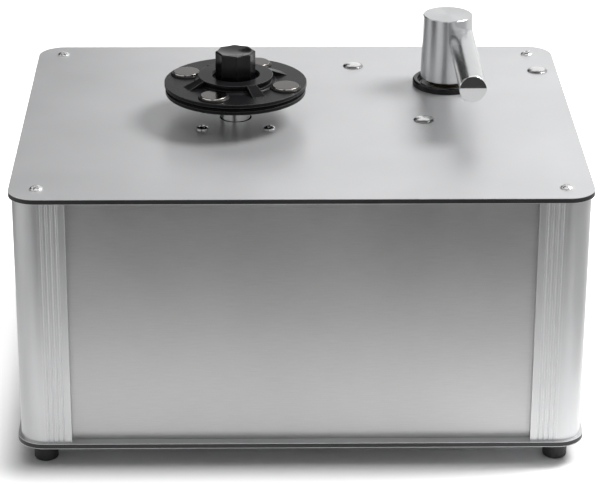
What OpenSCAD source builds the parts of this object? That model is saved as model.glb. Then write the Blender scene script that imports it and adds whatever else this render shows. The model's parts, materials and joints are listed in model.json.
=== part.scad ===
// Record cleaning machine: a low case with a record spindle, a puck clamp and a swivelling suction arm.
// Millimetres. +Z is up, -Y is the front, and the origin is under the middle, at the feet's lower faces.

/* [Case] */
// Width of the top and base plates
plate_w = 415; // [410:1:430]
// Depth of the top and base plates
plate_d = 330; // [328:1:345]
// Thickness of each plate, core and skins together
plate_t = 4; // [3:0.5:5]
// Thickness of each metal skin of a plate
skin_t = 0.4; // [0.3:0.1:0.6]
// Corner radius of the plates
corner_r = 20; // [19:0.5:21]
// Height of the corner posts
post_h = 188; // [184:1:200]
// Width of a corner post along each face
post_w = 38; // [36:0.5:42]
// Grooves on each flat of a post
groove_count = 5; // [3:1:5]
// Thickness of the side panels
panel_t = 3; // [2:0.5:3]
// Depth of the panels behind the posts' faces
panel_recess = 5.5; // [5:0.5:6]
// Height of a rubber foot
foot_h = 16; // [13:0.5:18]
// Radius of a rubber foot
foot_r = 8.9; // [8:0.1:10]

/* [Record drive] */
// Distance of the spindle to the left of the middle
spindle_left = 47.7; // [45:0.1:50]
// Radius of the polished spindle above the plate
spindle_r = 11.1; // [10:0.1:11.5]
// Radius of the pin that takes a record's centre hole
record_pin_r = 3.55; // [3.5:0.01:3.6]
// Height of the record rest above the top plate
rest_lift = 20.6; // [18:0.1:22]
// Radius of the record rest
rest_r = 52.9; // [50:0.1:54]
// Radius of the clamp disc
clamp_r = 53.6; // [52.6:0.1:54]
// Thickness of the rims of the record rest and the clamp disc
disc_t = 2.8; // [2.5:0.1:3]
// Gap between the two discs, filled by the seals
seal_gap = 2.7; // [2.5:0.1:3]
// Radius of the clamp's knob
knob_r = 15.1; // [14:0.1:16]
// Radius of the clamp's round magnets
magnet_r = 10; // [9:0.1:10.5]

/* [Suction arm] */
// Distance of the tower to the right of the middle
tower_right = 117; // [115:0.5:119]
// Distance of the tower behind the middle
tower_back = 74; // [72:0.5:76]
// Radius of the tower at its foot
tower_foot_r = 20.2; // [19.8:0.1:20.6]
// Radius of the tower at its top
tower_top_r = 19.2; // [18.8:0.1:19.6]
// Height of the tower's top above the plate
tower_top = 57.4; // [56:0.1:60]
// Radius of the arm's tube
arm_r = 10.15; // [9.9:0.05:10.4]
// Distance from the tower's axis to the arm's end face
arm_reach = 124.7; // [120:0.1:125]
// How far suction pulls the arm down
arm_travel = 4; // [3:0.5:4]

/* [Hidden] */
$fn = 72;
slack = 1;

// Levels above the surface
base_top = foot_h + plate_t;
foot_recess = foot_h - 6.5;
deck = base_top + post_h + plate_t;
under_deck = deck - plate_t;

// Plan of the case
corner_x = plate_w / 2 - corner_r;
corner_y = plate_d / 2 - corner_r;
post_inset = 2.4;
post_r = corner_r - post_inset;
post_face_x = plate_w / 2 - post_inset;
post_face_y = plate_d / 2 - post_inset;
post_arm_t = 12.6;
panel_face_x = post_face_x - panel_recess;
panel_face_y = post_face_y - panel_recess;
panel_grip = 5;
slot_play = 0.1;
groove_first = 5.7;
groove_pitch = 3.6;
groove_r = 0.95;
groove_d = 0.5;
m5_r = 2.5;
m5_bore_r = 2.6;

// Record drive
spindle_x = -spindle_left;
spindle_y = 0.6;
spindle_hole_r = 12.1;
shaft_r = 6;
motor_screw_pitch = 50;
motor_screw_bore_r = 2.1;
gearbox_w = 64;
gearbox_wall = 4;
gearbox_h = 36.5;
cover_t = 4;
gearbox_z = under_deck - cover_t - gearbox_h;
gear_module = 0.6;
wheel_teeth = 40;
pinion_teeth = 10;
tooth_play = 0.14;
gear_spacing = gear_module * (wheel_teeth + pinion_teeth) / 2;
first_stage_z = gearbox_z + gearbox_wall + 1;
first_stage_h = 5;
second_stage_z = first_stage_z + first_stage_h + 1;
second_stage_h = 7;
boss_floor_z = second_stage_z + second_stage_h + 1;
boss_floor_t = 3;
bearing_r = 14;
bearing_h = 8;
inner_race_r = 8.2;
outer_race_r = 11.6;
shield_set = 0.6;
layshaft_r = 2;
motor_w = 60;
motor_h = 70;
bell_h = 17;
rotor_r = 16.6;
rotor_shaft_r = 2.5;
rest_z = deck + rest_lift;
clamp_z = rest_z + disc_t + seal_gap;
clamp_top = clamp_z + disc_t;
hub_top = clamp_top + 5.5;
hub_r = 28.2;
hub_neck_r = 27.4;
hub_foot_r = 30.4;
recess_r = 17;
knob_turn = 22.5 + 3;
knob_z = clamp_top + 1.7;
knob_top = clamp_top + 23.9;
pin_top = knob_top - 7.5;
pin_bore_top = pin_top + 1;
pin_bore_r = record_pin_r + 0.08;
magnet_circle = 40.7;
magnet_sink = 1.35;
magnet_h = 3.75;
magnet_turn = 67;
rib_turn = 26;
rib_w = 7.6;
rib_end_w = 10.4;
rib_end_r = 41;

// Suction arm
arm_z = 40;
arm_side = 10.3;
arm_bore_r = 8.3;
arm_back = 4;
plug_t = 2.5;
suction_slot_w = 4.6;
suction_slot_l = 88;
suction_slot_gap = 6;
stem_r = 8;
stem_bore_r = 6;
stem_top = 29.4;
stem_drop = 60;
sleeve_r = 12;
bush_r = 15;
bush_drop = 12;
spring_z = 3.8;
spring_top = 20;
spring_r = 11.3;
spring_wire_r = 0.8;
tower_gap = arm_travel + 2.4;
dome_points = [[192, 104.5], [45.5, 116.5], [94.8, -7]];
dome_r = 7.9;

// Suction unit
lid_t = 5;
lid_r = 72;
ear_t = 12;
ear_r = 4.4;
lug_r = 8;
lug_share = 0.93;
tank_r = 68;
tank_wall = 2;
tank_h = 136;
tank_top = under_deck - lid_t - 1.5;
tank_z = tank_top - tank_h;
hose_r = 16.5;
hose_bore_r = 14.1;
spigot_r = 14;
spigot_bore_r = 12;
hose_y = 80;
hose_z = base_top + 162.5;
hose_bend_r = 30;
turbine_x = -125;
turbine_y = hose_y;
turbine_z = base_top + 74.5;
turbine_h = 43;
turbine_r = 52;
turbine_wall = 3;
turbine_motor_r = 38;
turbine_motor_z = base_top + 17.5;
turbine_shaft_r = 4;
turbine_shaft_bore_r = turbine_shaft_r + 0.05;
armature_r = 19.6;
armature_z = base_top + 28.5;
armature_h = 34;

// Fittings in the panels
switch_x = panel_face_x;
switch_z = base_top + 142.5;
motor_switch_y = -98;
suction_switch_y = -72;
rocker_w = 11;
rocker_h = 17;
rocker_pivot_in = 4.5;
rocker_barrel_r = 5;
rocker_tilt = 10;
inlet_x = -20;
inlet_z = base_top + 42.5;
drain_x = 117;
drain_z = base_top + 54.5;
tube_r = 3.4;
tube_bore_r = 2.3;
tube_y = panel_face_y + tube_r + 0.5;
tube_z = drain_z + 6;
tube_top = base_top + 170.5;

// Routes of the cables above the base plate, each to the terminal block on the board
cable_r = 2.4;
inlet_cable = [[-20, 133, 42.5], [-20, 122, 40.5], [-18, 100, 22.5], [-8, 60, 6.5], [-8, 0, 4.5],
    [-20, -50, 4.5], [-38, -74, 8.5], [-51, -80, 15.5], [-58, -80, 16.5]];
drive_cable = [[-47, 0, 77.5], [-47, 0, 66.5], [-47, -8, 52.5], [-52, -30, 32.5], [-60, -50, 22.5],
    [-60.4, -62, 17], [-60.4, -72, 16.5]];
turbine_cable = [[-125, 42, 42.5], [-125, 32, 42.5], [-115, 5, 27.5], [-90, -25, 20.5], [-67.5, -50, 19.5],
    [-65.7, -62, 17], [-65.7, -72, 16.5]];
motor_switch_cable = [[183.6, -98, 142.5], [172, -98, 136.5], [160, -98, 102.5], [150, -98, 42.5],
    [133, -99, 8.5], [90, -100, 4], [10, -100, 4], [-33, -98, 8.5], [-51, -96, 15.5], [-58, -96, 16.5]];
suction_switch_cable = [[183.6, -72, 142.5], [172, -72, 136.5], [158, -76, 102.5], [148, -84, 42.5],
    [131, -88, 8.5], [90, -90, 4], [10, -90, 4], [-33, -88, 8.5], [-51, -88, 15.5], [-58, -88, 16.5]];

// Points on an arc about a centre, from one angle to another
function arc_points(x, y, r, from, to, steps) =
    [for (i = [0 : steps]) let (a = from + (to - from) * i / steps) [x + r * cos(a), y + r * sin(a)]];

// Angle between the base circle and an involute's point, in degrees
function involute_angle(a) = tan(a) * 180 / PI - a;

// Half the angle that a tooth fills at radius r
function flank_angle(r, pitch_r, teeth) =
    90 / teeth - tooth_play / 2 / pitch_r * 90 / PI + involute_angle(20)
    - involute_angle(acos(min(1, pitch_r * cos(20) / r)));

// Outline of a spur gear with its first tooth on +X
function gear_points(teeth, addendum) =
    let (pitch_r = gear_module * teeth / 2,
         root_r = pitch_r - 1.25 * gear_module,
         start_r = max(root_r + 0.02, pitch_r * cos(20)),
         tip_r = pitch_r + addendum * gear_module,
         steps = 3,
         radii = [for (i = [0 : steps]) start_r + (tip_r - start_r) * i / steps])
    [for (t = [0 : teeth - 1])
        let (mid = 360 * t / teeth,
             foot = flank_angle(start_r, pitch_r, teeth))
        each concat(
            [[root_r * cos(mid - foot), root_r * sin(mid - foot)]],
            [for (i = [0 : steps]) let (a = mid - flank_angle(radii[i], pitch_r, teeth))
                [radii[i] * cos(a), radii[i] * sin(a)]],
            [for (i = [steps : -1 : 0]) let (a = mid + flank_angle(radii[i], pitch_r, teeth))
                [radii[i] * cos(a), radii[i] * sin(a)]],
            [[root_r * cos(mid + foot), root_r * sin(mid + foot)]])];

// A smooth route through the points of a cable
function smooth_route(p, steps) =
    [for (i = [0 : len(p) - 2], k = [0 : steps - 1])
        let (a = p[max(i - 1, 0)], b = p[i], c = p[i + 1], d = p[min(i + 2, len(p) - 1)], t = k / steps)
        0.5 * (2 * b + (c - a) * t + (2 * a - 5 * b + 4 * c - d) * t ^ 2 + (3 * b - a - 3 * c + d) * t ^ 3),
     p[len(p) - 1]];

function unit(v) = v / norm(v);

function route_tangent(p, i) = unit(p[min(i + 1, len(p) - 1)] - p[max(i - 1, 0)]);

// The last side direction, made square to the route at its next point
function turned_side(p, i, n) = unit(n - (n * route_tangent(p, i)) * route_tangent(p, i));

// A round tube of a few sides swept along a list of points
module swept_tube(p, r, sides) {
    last = len(p) - 1;
    first_side = unit(cross(route_tangent(p, 0), [0.31, 0.47, 0.83]));
    normals = [for (i = 0, n = first_side; i <= last; i = i + 1, n = i > last ? n : turned_side(p, i, n)) n];
    rings = [for (i = [0 : last])
        let (t = route_tangent(p, i), n = normals[i], b = cross(t, n))
        for (k = [0 : sides - 1]) p[i] + r * (cos(360 * k / sides) * n + sin(360 * k / sides) * b)];
    points = concat(rings, [p[0], p[last]]);
    walls = [for (i = [0 : last - 1], k = [0 : sides - 1])
        let (a = i * sides + k, b = i * sides + (k + 1) % sides)
        each [[a, a + sides, b + sides], [a, b + sides, b]]];
    ends = [for (k = [0 : sides - 1])
        each [[len(rings), k, (k + 1) % sides],
              [len(rings) + 1, last * sides + (k + 1) % sides, last * sides + k]]];
    polyhedron(points, concat(walls, ends));
}

module ring(outer, inner, h) {
    difference() {
        cylinder(r = outer, h = h);
        translate([0, 0, -slack]) cylinder(r = inner, h = h + 2 * slack);
    }
}

// A turned part: the outline is given as radius and height
module turned(points) rotate_extrude() polygon(points);

module rounded_outline(w, d, r) {
    square([w - 2 * r, d], center = true);
    square([w, d - 2 * r], center = true);
    for (sx = [-1, 1], sy = [-1, 1]) translate([sx * (w / 2 - r), sy * (d / 2 - r)]) circle(r);
}

module rounded_box(w, d, h, r) linear_extrude(h) rounded_outline(w, d, r);

module at_corners(dx, dy) for (sx = [-1, 1], sy = [-1, 1]) translate([sx * dx, sy * dy, 0]) children();

module at_spindle(z) translate([spindle_x, spindle_y, z]) children();

module at_motor_screws(z) at_spindle(z) at_corners(motor_screw_pitch / 2, motor_screw_pitch / 2) children();

module at_tower(z) translate([tower_right, tower_back, z]) children();

module at_domes(z) for (p = dome_points) translate([p.x, p.y, z]) children();

// A domed screw head, flat side down
module dome_head(r, edge, rise) {
    ball = (r ^ 2 + rise ^ 2) / (2 * rise);
    intersection() {
        cylinder(r = r, h = edge + rise);
        translate([0, 0, edge + rise - ball]) sphere(ball);
    }
}

// A cross-head screw that points down, with its head above z = 0
module cross_screw(head_r, edge, rise, shank_r, length) {
    slot = head_r * 0.26;
    difference() {
        dome_head(head_r, edge, rise);
        for (a = [25, 115]) rotate(a)
            translate([-head_r * 0.6, -slot / 2, edge]) cube([head_r * 1.2, slot, rise + slack]);
    }
    translate([0, 0, -length]) cylinder(r = shank_r, h = length + 0.2);
}

// Holes through the top plate
module top_plate_holes() {
    h = plate_t + 2 * slack;
    z = under_deck - slack;
    translate([0, 0, z]) at_corners(corner_x, corner_y) cylinder(r = m5_bore_r, h = h);
    at_spindle(z) cylinder(r = spindle_hole_r, h = h);
    at_motor_screws(z) cylinder(r = motor_screw_bore_r, h = h);
    at_tower(z) cylinder(r = bush_r + 0.05, h = h);
    at_domes(z) cylinder(r = 3.1, h = h);
}

module base_plate_holes() {
    translate([0, 0, foot_h - slack]) at_corners(corner_x, corner_y)
        cylinder(r = m5_bore_r, h = plate_t + 2 * slack);
}

module base_plate_core() color([0.1, 0.1, 0.11]) difference() {
    translate([0, 0, foot_h + skin_t]) rounded_box(plate_w, plate_d, plate_t - 2 * skin_t, corner_r);
    base_plate_holes();
}

module base_plate_skins() color([0.72, 0.73, 0.75]) difference() {
    for (z = [foot_h, base_top - skin_t]) translate([0, 0, z])
        rounded_box(plate_w, plate_d, skin_t, corner_r);
    base_plate_holes();
}

module top_plate_core() color([0.1, 0.1, 0.11]) difference() {
    translate([0, 0, under_deck + skin_t]) rounded_box(plate_w, plate_d, plate_t - 2 * skin_t, corner_r);
    top_plate_holes();
}

module top_plate_skins() color([0.76, 0.77, 0.79]) difference() {
    for (z = [under_deck, deck - skin_t]) translate([0, 0, z])
        rounded_box(plate_w, plate_d, skin_t, corner_r);
    top_plate_holes();
}

// One flat of a post, which runs from the round corner to the panel along -X, with its face on y = 0
module post_flat() {
    reach = post_w - post_r;
    difference() {
        translate([-reach, -post_arm_t]) square([reach, post_arm_t]);
        translate([-reach - slack, -panel_recess - panel_t - slot_play])
            square([panel_grip + slack + 0.2, panel_t + 2 * slot_play]);
        for (i = [0 : groove_count - 1])
            translate([-reach + groove_first + i * groove_pitch, groove_r - groove_d]) circle(groove_r);
    }
}

// Section of the rear right post
module post_section() {
    pocket_r = post_r - 3;
    difference() {
        union() {
            translate([corner_x, corner_y]) circle(post_r);
            translate([corner_x, post_face_y]) post_flat();
            translate([post_face_x, corner_y]) rotate(-90) mirror([1, 0]) post_flat();
        }
        translate([corner_x, corner_y]) circle(m5_bore_r);
        translate([corner_x, corner_y]) difference() {
            circle(pocket_r);
            circle(m5_bore_r + 3);
            for (a = [0, 90]) rotate(a) square([2 * post_r, 3], center = true);
        }
    }
}

module corner_post(sx, sy) color([0.68, 0.69, 0.71]) translate([0, 0, base_top]) linear_extrude(post_h) {
    if (sx > 0 && sy > 0) post_section();
    if (sx < 0 && sy > 0) mirror([1, 0]) post_section();
    if (sx > 0 && sy < 0) mirror([0, 1]) post_section();
    if (sx < 0 && sy < 0) rotate(180) post_section();
}

module corner_post_front_left() corner_post(-1, -1);
module corner_post_front_right() corner_post(1, -1);
module corner_post_rear_left() corner_post(-1, 1);
module corner_post_rear_right() corner_post(1, 1);

// A flat panel that stands on the base plate, with its outer face on y = 0
module panel_sheet(reach) translate([-reach, 0, base_top]) cube([2 * reach, panel_t, post_h]);

long_panel_reach = post_face_x - post_w + panel_grip;
short_panel_reach = post_face_y - post_w + panel_grip;

module front_panel() color([0.55, 0.55, 0.56]) translate([0, -panel_face_y, 0]) panel_sheet(long_panel_reach);

module left_panel() color([0.55, 0.55, 0.56])
    translate([-panel_face_x, 0, 0]) rotate(-90) panel_sheet(short_panel_reach);

module right_panel() color([0.55, 0.55, 0.56]) difference() {
    translate([panel_face_x, 0, 0]) rotate(90) panel_sheet(short_panel_reach);
    for (y = [motor_switch_y, suction_switch_y])
        translate([panel_face_x - panel_t - slack, y - 7.1, switch_z - 11.1])
            cube([panel_t + 2 * slack, 14.2, 22.2]);
}

// Air slots of the rear panel: one group over the exhaust duct, one for cooling
module vent_slots(x, z, count, length, pitch) {
    for (i = [0 : count - 1]) translate([x + (i - (count - 1) / 2) * pitch, 0, z]) rotate([-90, 0, 0]) {
        translate([0, -length / 2, 0]) cylinder(r = 1.5, h = panel_t + 2 * slack);
        translate([0, length / 2, 0]) cylinder(r = 1.5, h = panel_t + 2 * slack);
        translate([-1.5, -length / 2, 0]) cube([3, length, panel_t + 2 * slack]);
    }
}

module rear_panel() color([0.55, 0.55, 0.56]) difference() {
    translate([0, panel_face_y, 0]) rotate(180) panel_sheet(long_panel_reach);
    translate([0, panel_face_y - panel_t - slack, 0]) {
        vent_slots(turbine_x, turbine_z + 21, 7, 17, 6);
        vent_slots(spindle_x, switch_z, 9, 20, 6);
        translate([inlet_x - 14.1, 0, inlet_z - 10.4]) cube([28.2, panel_t + 2 * slack, 20.8]);
        translate([drain_x, 0, drain_z]) rotate([-90, 0, 0]) cylinder(r = 4.1, h = panel_t + 2 * slack);
    }
}

module corner_screws() color([0.8, 0.8, 0.8])
    translate([0, 0, deck]) at_corners(corner_x, corner_y) cross_screw(4.6, 0.9, 1.7, m5_r, plate_t + 22);

module foot_screws() color([0.8, 0.8, 0.8])
    translate([0, 0, foot_recess]) mirror([0, 0, 1]) at_corners(corner_x, corner_y)
        cross_screw(4.4, 1, 1.6, m5_r, 29);

module feet() color([0.06, 0.06, 0.06]) at_corners(corner_x, corner_y) turned(concat(
    [[5, 0]],
    arc_points(foot_r - 1.8, 1.8, 1.8, -90, 0, 5),
    [[foot_r, foot_h], [m5_bore_r, foot_h], [m5_bore_r, foot_recess], [5, foot_recess]]));

module dome_screws() color([0.85, 0.85, 0.86]) {
    at_domes(deck) dome_head(dome_r, 0.7, 1.9);
    at_domes(under_deck - ear_t + 2) cylinder(r = 3, h = ear_t + plate_t - 1.8);
}

module motor_screws() color([0.8, 0.8, 0.8])
    at_motor_screws(deck) cross_screw(4.5, 0.9, 1.6, 2, plate_t + cover_t + 18);

// Box of the gearbox, open at the top, with four screw bosses and the floor's two bores
module gearbox_case() color([0.5, 0.51, 0.53]) difference() {
    room_w = gearbox_w - 2 * gearbox_wall;
    thread_l = 20;
    at_spindle(gearbox_z) rounded_box(gearbox_w, gearbox_w, gearbox_h, 5);
    difference() {
        at_spindle(gearbox_z + gearbox_wall) rounded_box(room_w, room_w, gearbox_h, 3);
        at_motor_screws(gearbox_z) cylinder(r = 5, h = gearbox_h);
    }
    at_motor_screws(gearbox_z + gearbox_h - thread_l) cylinder(r = motor_screw_bore_r, h = thread_l + slack);
    at_spindle(gearbox_z - slack) cylinder(r = rotor_shaft_r + 0.05, h = gearbox_wall + 2 * slack);
    at_spindle(gearbox_z + 1) translate([gear_spacing, 0, 0])
        cylinder(r = layshaft_r + 0.05, h = gearbox_wall);
}

// Lid of the gearbox, whose boss holds the spindle's bearings
module gearbox_cover() color([0.56, 0.57, 0.59]) difference() {
    union() {
        at_spindle(under_deck - cover_t) rounded_box(gearbox_w, gearbox_w, cover_t, 5);
        at_spindle(boss_floor_z) cylinder(r = bearing_r + 5, h = under_deck - boss_floor_z);
    }
    at_spindle(boss_floor_z + boss_floor_t) cylinder(r = bearing_r + 0.02, h = under_deck - boss_floor_z);
    at_spindle(boss_floor_z - slack) {
        cylinder(r = shaft_r + 0.8, h = boss_floor_t + 2 * slack);
        translate([gear_spacing, 0, 0]) cylinder(r = layshaft_r + 0.05, h = boss_floor_t);
    }
    at_motor_screws(under_deck - cover_t - slack) cylinder(r = motor_screw_bore_r, h = cover_t + 2 * slack);
}

// Two ball bearings, with the shield set in between the races
module spindle_bearings() color([0.75, 0.76, 0.78])
    for (i = [0, 1]) at_spindle(boss_floor_z + boss_floor_t + 0.2 + i * (bearing_h + 0.1)) turned([
        [shaft_r + 0.03, 0], [inner_race_r, 0], [inner_race_r, shield_set], [outer_race_r, shield_set],
        [outer_race_r, 0], [bearing_r, 0], [bearing_r, bearing_h], [outer_race_r, bearing_h],
        [outer_race_r, bearing_h - shield_set], [inner_race_r, bearing_h - shield_set],
        [inner_race_r, bearing_h], [shaft_r + 0.03, bearing_h]]);

// Wound stator of the drive motor: a slotted stack with a ring of windings at each end
module motor_stator() {
    stack_z = gearbox_z - motor_h + bell_h;
    color([0.4, 0.41, 0.43]) at_spindle(stack_z) difference() {
        rounded_box(motor_w, motor_w, motor_h - 2 * bell_h, 8);
        translate([0, 0, -slack]) cylinder(r = rotor_r + 0.4, h = motor_h);
        for (i = [0 : 11]) rotate(i * 30) translate([rotor_r, -1.2, -slack]) cube([3, 2.4, motor_h]);
    }
    color([0.72, 0.4, 0.18]) for (z = [stack_z - 7.2, gearbox_z - bell_h + 0.2])
        at_spindle(z) ring(19.8, rotor_r + 0.5, 7);
}

// Two cast end bells, each with a bore for the shaft
module motor_end_bells() color([0.6, 0.61, 0.63]) at_spindle(gearbox_z - motor_h) {
    difference() {
        rounded_box(motor_w, motor_w, bell_h, 8);
        translate([0, 0, 5]) cylinder(r = 20, h = bell_h);
        translate([0, 0, 1.5]) cylinder(r = rotor_shaft_r + 0.05, h = 5);
    }
    translate([0, 0, motor_h - bell_h]) difference() {
        rounded_box(motor_w, motor_w, bell_h, 8);
        translate([0, 0, -slack]) cylinder(r = 20, h = bell_h - 3);
        translate([0, 0, -slack]) cylinder(r = rotor_shaft_r + 0.05, h = bell_h + 2 * slack);
    }
}

module tower_ring() color([0.05, 0.05, 0.05]) at_tower(deck) turned([
    [19.2, 0], [25.8, 0], [26.3, 0.5], [26.3, 4.1], [25.4, 5], [23.2, 5], [22.4, 4.4], [22.4, 1.5],
    [19.2, 1.5]]);

module stem_bush() color([0.85, 0.84, 0.8]) at_tower(deck) turned([
    [sleeve_r + 0.03, -bush_drop], [bush_r, -bush_drop], [bush_r, 0], [19, 0], [19, 1.4],
    [sleeve_r + 0.03, 1.4]]);

module tank_lid() color([0.3, 0.31, 0.33]) difference() {
    union() {
        at_tower(under_deck - lid_t) cylinder(r = lid_r, h = lid_t);
        for (p = dome_points) {
            lug = [tower_right, tower_back] * (1 - lug_share) + p * lug_share;
            translate([lug.x, lug.y, under_deck - lid_t]) cylinder(r = lug_r, h = lid_t);
            translate([p.x, p.y, under_deck - ear_t]) cylinder(r = ear_r, h = ear_t);
        }
    }
    at_tower(under_deck - lid_t - slack) cylinder(r = bush_r + 0.05, h = lid_t + 2 * slack);
    at_domes(under_deck - ear_t - slack) cylinder(r = 3.05, h = ear_t + 2 * slack);
}

module tank_gasket() color([0.08, 0.08, 0.08]) at_tower(tank_top) ring(70.5, 66.5, 1.5);

module waste_tank() color([0.85, 0.86, 0.85]) difference() {
    union() {
        at_tower(tank_z) cylinder(r = tank_r, h = tank_h);
        at_tower(tank_top - 4) cylinder(r = 71, h = 4);
        translate([tower_right - tank_r + 4, hose_y, hose_z]) rotate([0, -90, 0])
            cylinder(r = spigot_r, h = 20);
    }
    at_tower(tank_z + tank_wall) cylinder(r = tank_r - tank_wall, h = tank_h);
    translate([tower_right - tank_r + 10, hose_y, hose_z]) rotate([0, -90, 0])
        cylinder(r = spigot_bore_r, h = 40);
    translate([drain_x, tower_back + tank_r - 6, drain_z]) rotate([-90, 0, 0]) cylinder(r = 3.3, h = 12);
}

// Hose from the tank's spigot, straight to the left and then down on to the turbine's inlet
module suction_hose() color([0.2, 0.2, 0.21]) {
    start_x = tower_right - tank_r - 4;
    bend_x = turbine_x + hose_bend_r;
    translate([start_x, hose_y, hose_z]) rotate([0, -90, 0]) ring(hose_r, hose_bore_r, start_x - bend_x);
    translate([bend_x, hose_y, hose_z - hose_bend_r]) rotate([90, 0, 0]) rotate([0, 0, 90])
        rotate_extrude(angle = 90) translate([hose_bend_r, 0]) difference() {
            circle(hose_r);
            circle(hose_bore_r);
        }
    translate([turbine_x, hose_y, hose_z - hose_bend_r - 12]) ring(hose_r, hose_bore_r, 12);
}

// Fan housing with its inlet on top and a square exhaust duct to the rear panel
module turbine_housing() color([0.13, 0.13, 0.14]) difference() {
    duct_w = 44;
    duct_h = 26;
    duct_l = panel_face_y - panel_t - turbine_y;
    union() {
        translate([turbine_x, turbine_y, turbine_z]) cylinder(r = turbine_r, h = turbine_h);
        translate([turbine_x, turbine_y, turbine_z + turbine_h - slack]) cylinder(r = spigot_r, h = 12);
        translate([turbine_x - duct_w / 2, turbine_y, turbine_z + 8]) cube([duct_w, duct_l, duct_h]);
    }
    translate([turbine_x, turbine_y, turbine_z + turbine_wall])
        cylinder(r = turbine_r - turbine_wall, h = turbine_h - 2 * turbine_wall);
    translate([turbine_x, turbine_y, turbine_z + turbine_h / 2]) cylinder(r = spigot_bore_r, h = turbine_h);
    translate([turbine_x - duct_w / 2 + 2, turbine_y, turbine_z + 10])
        cube([duct_w - 4, duct_l + slack, duct_h - 4]);
    translate([turbine_x, turbine_y, turbine_z - slack])
        cylinder(r = turbine_shaft_r + 0.6, h = turbine_wall + 2 * slack);
}

// Closed motor under the fan, with a round hollow for the armature
module turbine_motor() color([0.45, 0.46, 0.48]) translate([turbine_x, turbine_y, 0]) turned([
    [0, turbine_motor_z], [turbine_motor_r - 3, turbine_motor_z], [turbine_motor_r, turbine_motor_z + 3],
    [turbine_motor_r, turbine_z], [turbine_shaft_bore_r, turbine_z],
    [turbine_shaft_bore_r, armature_z + armature_h + 5], [armature_r + 0.9, armature_z + armature_h + 5],
    [armature_r + 0.9, armature_z - 2], [turbine_shaft_bore_r, armature_z - 2],
    [turbine_shaft_bore_r, turbine_motor_z + 2.5], [0, turbine_motor_z + 2.5]]);

module turbine_mount() color([0.07, 0.07, 0.07]) translate([turbine_x, turbine_y, 0]) turned([
    [24, base_top], [44, base_top], [44, base_top + 3], [40, base_top + 6], [40, turbine_motor_z + 5],
    [turbine_motor_r + 0.05, turbine_motor_z + 5], [turbine_motor_r + 0.05, turbine_motor_z + 3],
    [turbine_motor_r - 3, turbine_motor_z], [24, turbine_motor_z]]);

// Board with its relays, capacitors, terminal blocks and heat sink, on four posts
module circuit_board() {
    board_x = -160;
    board_y = -128;
    board_z = base_top + 10;
    color([0.1, 0.35, 0.2]) translate([board_x, board_y, board_z]) cube([106, 66, 1.6]);
    color([0.8, 0.8, 0.8]) for (x = [6, 100], y = [6, 60])
        translate([board_x + x, board_y + y, base_top]) cylinder(r = 3, h = board_z - base_top);
    color([0.1, 0.2, 0.45]) for (i = [0 : 2])
        translate([board_x + 14 + i * 20, board_y + 8, board_z + 1.4]) cube([15, 19, 15]);
    color([0.15, 0.15, 0.17]) for (i = [0 : 1])
        translate([board_x + 22 + i * 16, board_y + 46, board_z + 1.4]) cylinder(r = 6, h = 20);
    color([0.1, 0.5, 0.25]) translate([board_x + 92, board_y + 16, board_z + 1.4]) cube([10, 40, 9]);
    color([0.6, 0.6, 0.62]) for (i = [0 : 5])
        translate([board_x + 56 + i * 5, board_y + 34, board_z + 1.4]) cube([2, 22, 18]);
}

module transformer() {
    x = -178;
    y = -48;
    color([0.45, 0.46, 0.48]) difference() {
        translate([x, y, base_top]) cube([38, 44, 46]);
        for (dz = [8, 30]) translate([x - slack, y + 8, base_top + dz]) cube([38 + 2 * slack, 28, 8]);
    }
    color([0.8, 0.7, 0.3]) for (dz = [8, 30])
        translate([x - 5, y + 8.1, base_top + dz + 0.1]) cube([48, 27.8, 7.8]);
}

module wiring() color([0.12, 0.12, 0.13]) translate([0, 0, base_top])
    for (route = [inlet_cable, drive_cable, turbine_cable, motor_switch_cable, suction_switch_cable])
        swept_tube(smooth_route(route, 4), cable_r, 8);

// Mains socket: a flanged box with a keyed hollow and three flat pins
module mains_inlet() {
    flange_t = 2.2;
    depth = 24;
    translate([inlet_x, panel_face_y, inlet_z]) {
        color([0.05, 0.05, 0.05]) difference() {
            union() {
                translate([-16, 0, -12.5]) cube([32, flange_t, 25]);
                translate([-14, -depth, -10.2]) cube([28, depth + slack, 20.4]);
            }
            translate([-12, -depth + 6, -8]) cube([24, depth, 12]);
            translate([-9, -depth + 6, 3]) cube([18, depth, 5]);
        }
        color([0.8, 0.7, 0.4]) for (p = [[-7, -3], [0, 2], [7, -3]])
            translate([p.x - 1, -depth + 3, p.y - 2]) cube([2, 17, 4]);
    }
}

// Frame of one rocker switch, seen from its front with the depth along -Z
module switch_frame() difference() {
    union() {
        rounded_box(17, 25, 1.8, 2);
        translate([-7, -11, -16]) cube([14, 22, 17]);
    }
    translate([-rocker_w / 2 - 0.35, -9.7, -14]) cube([rocker_w + 0.7, 19.4, 17]);
}

module on_right_panel(y) translate([switch_x, y, switch_z]) rotate([90, 0, 90]) children();

module switch_frames() color([0.06, 0.06, 0.06])
    for (y = [motor_switch_y, suction_switch_y]) on_right_panel(y) switch_frame();

// Rocker with a round barrel on its pivot, which lies across it
module rocker(tilt) {
    half = rocker_h / 2;
    translate([0, 0, -rocker_pivot_in]) rotate([tilt, 0, 0]) rotate([90, 0, 90])
        translate([0, 0, -rocker_w / 2]) {
            linear_extrude(rocker_w)
                polygon([[-half, 6.6], [-half + 0.8, 7.4], [0, 5.3], [half - 0.8, 7.4], [half, 6.6],
                         [half - 0.6, 1.5], [-half + 0.6, 1.5]]);
            cylinder(r = rocker_barrel_r, h = rocker_w);
        }
}

module motor_rocker() color([0.1, 0.1, 0.1]) on_right_panel(motor_switch_y) rocker(0);
module suction_rocker() color([0.1, 0.1, 0.1]) on_right_panel(suction_switch_y) rocker(-rocker_tilt);

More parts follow.
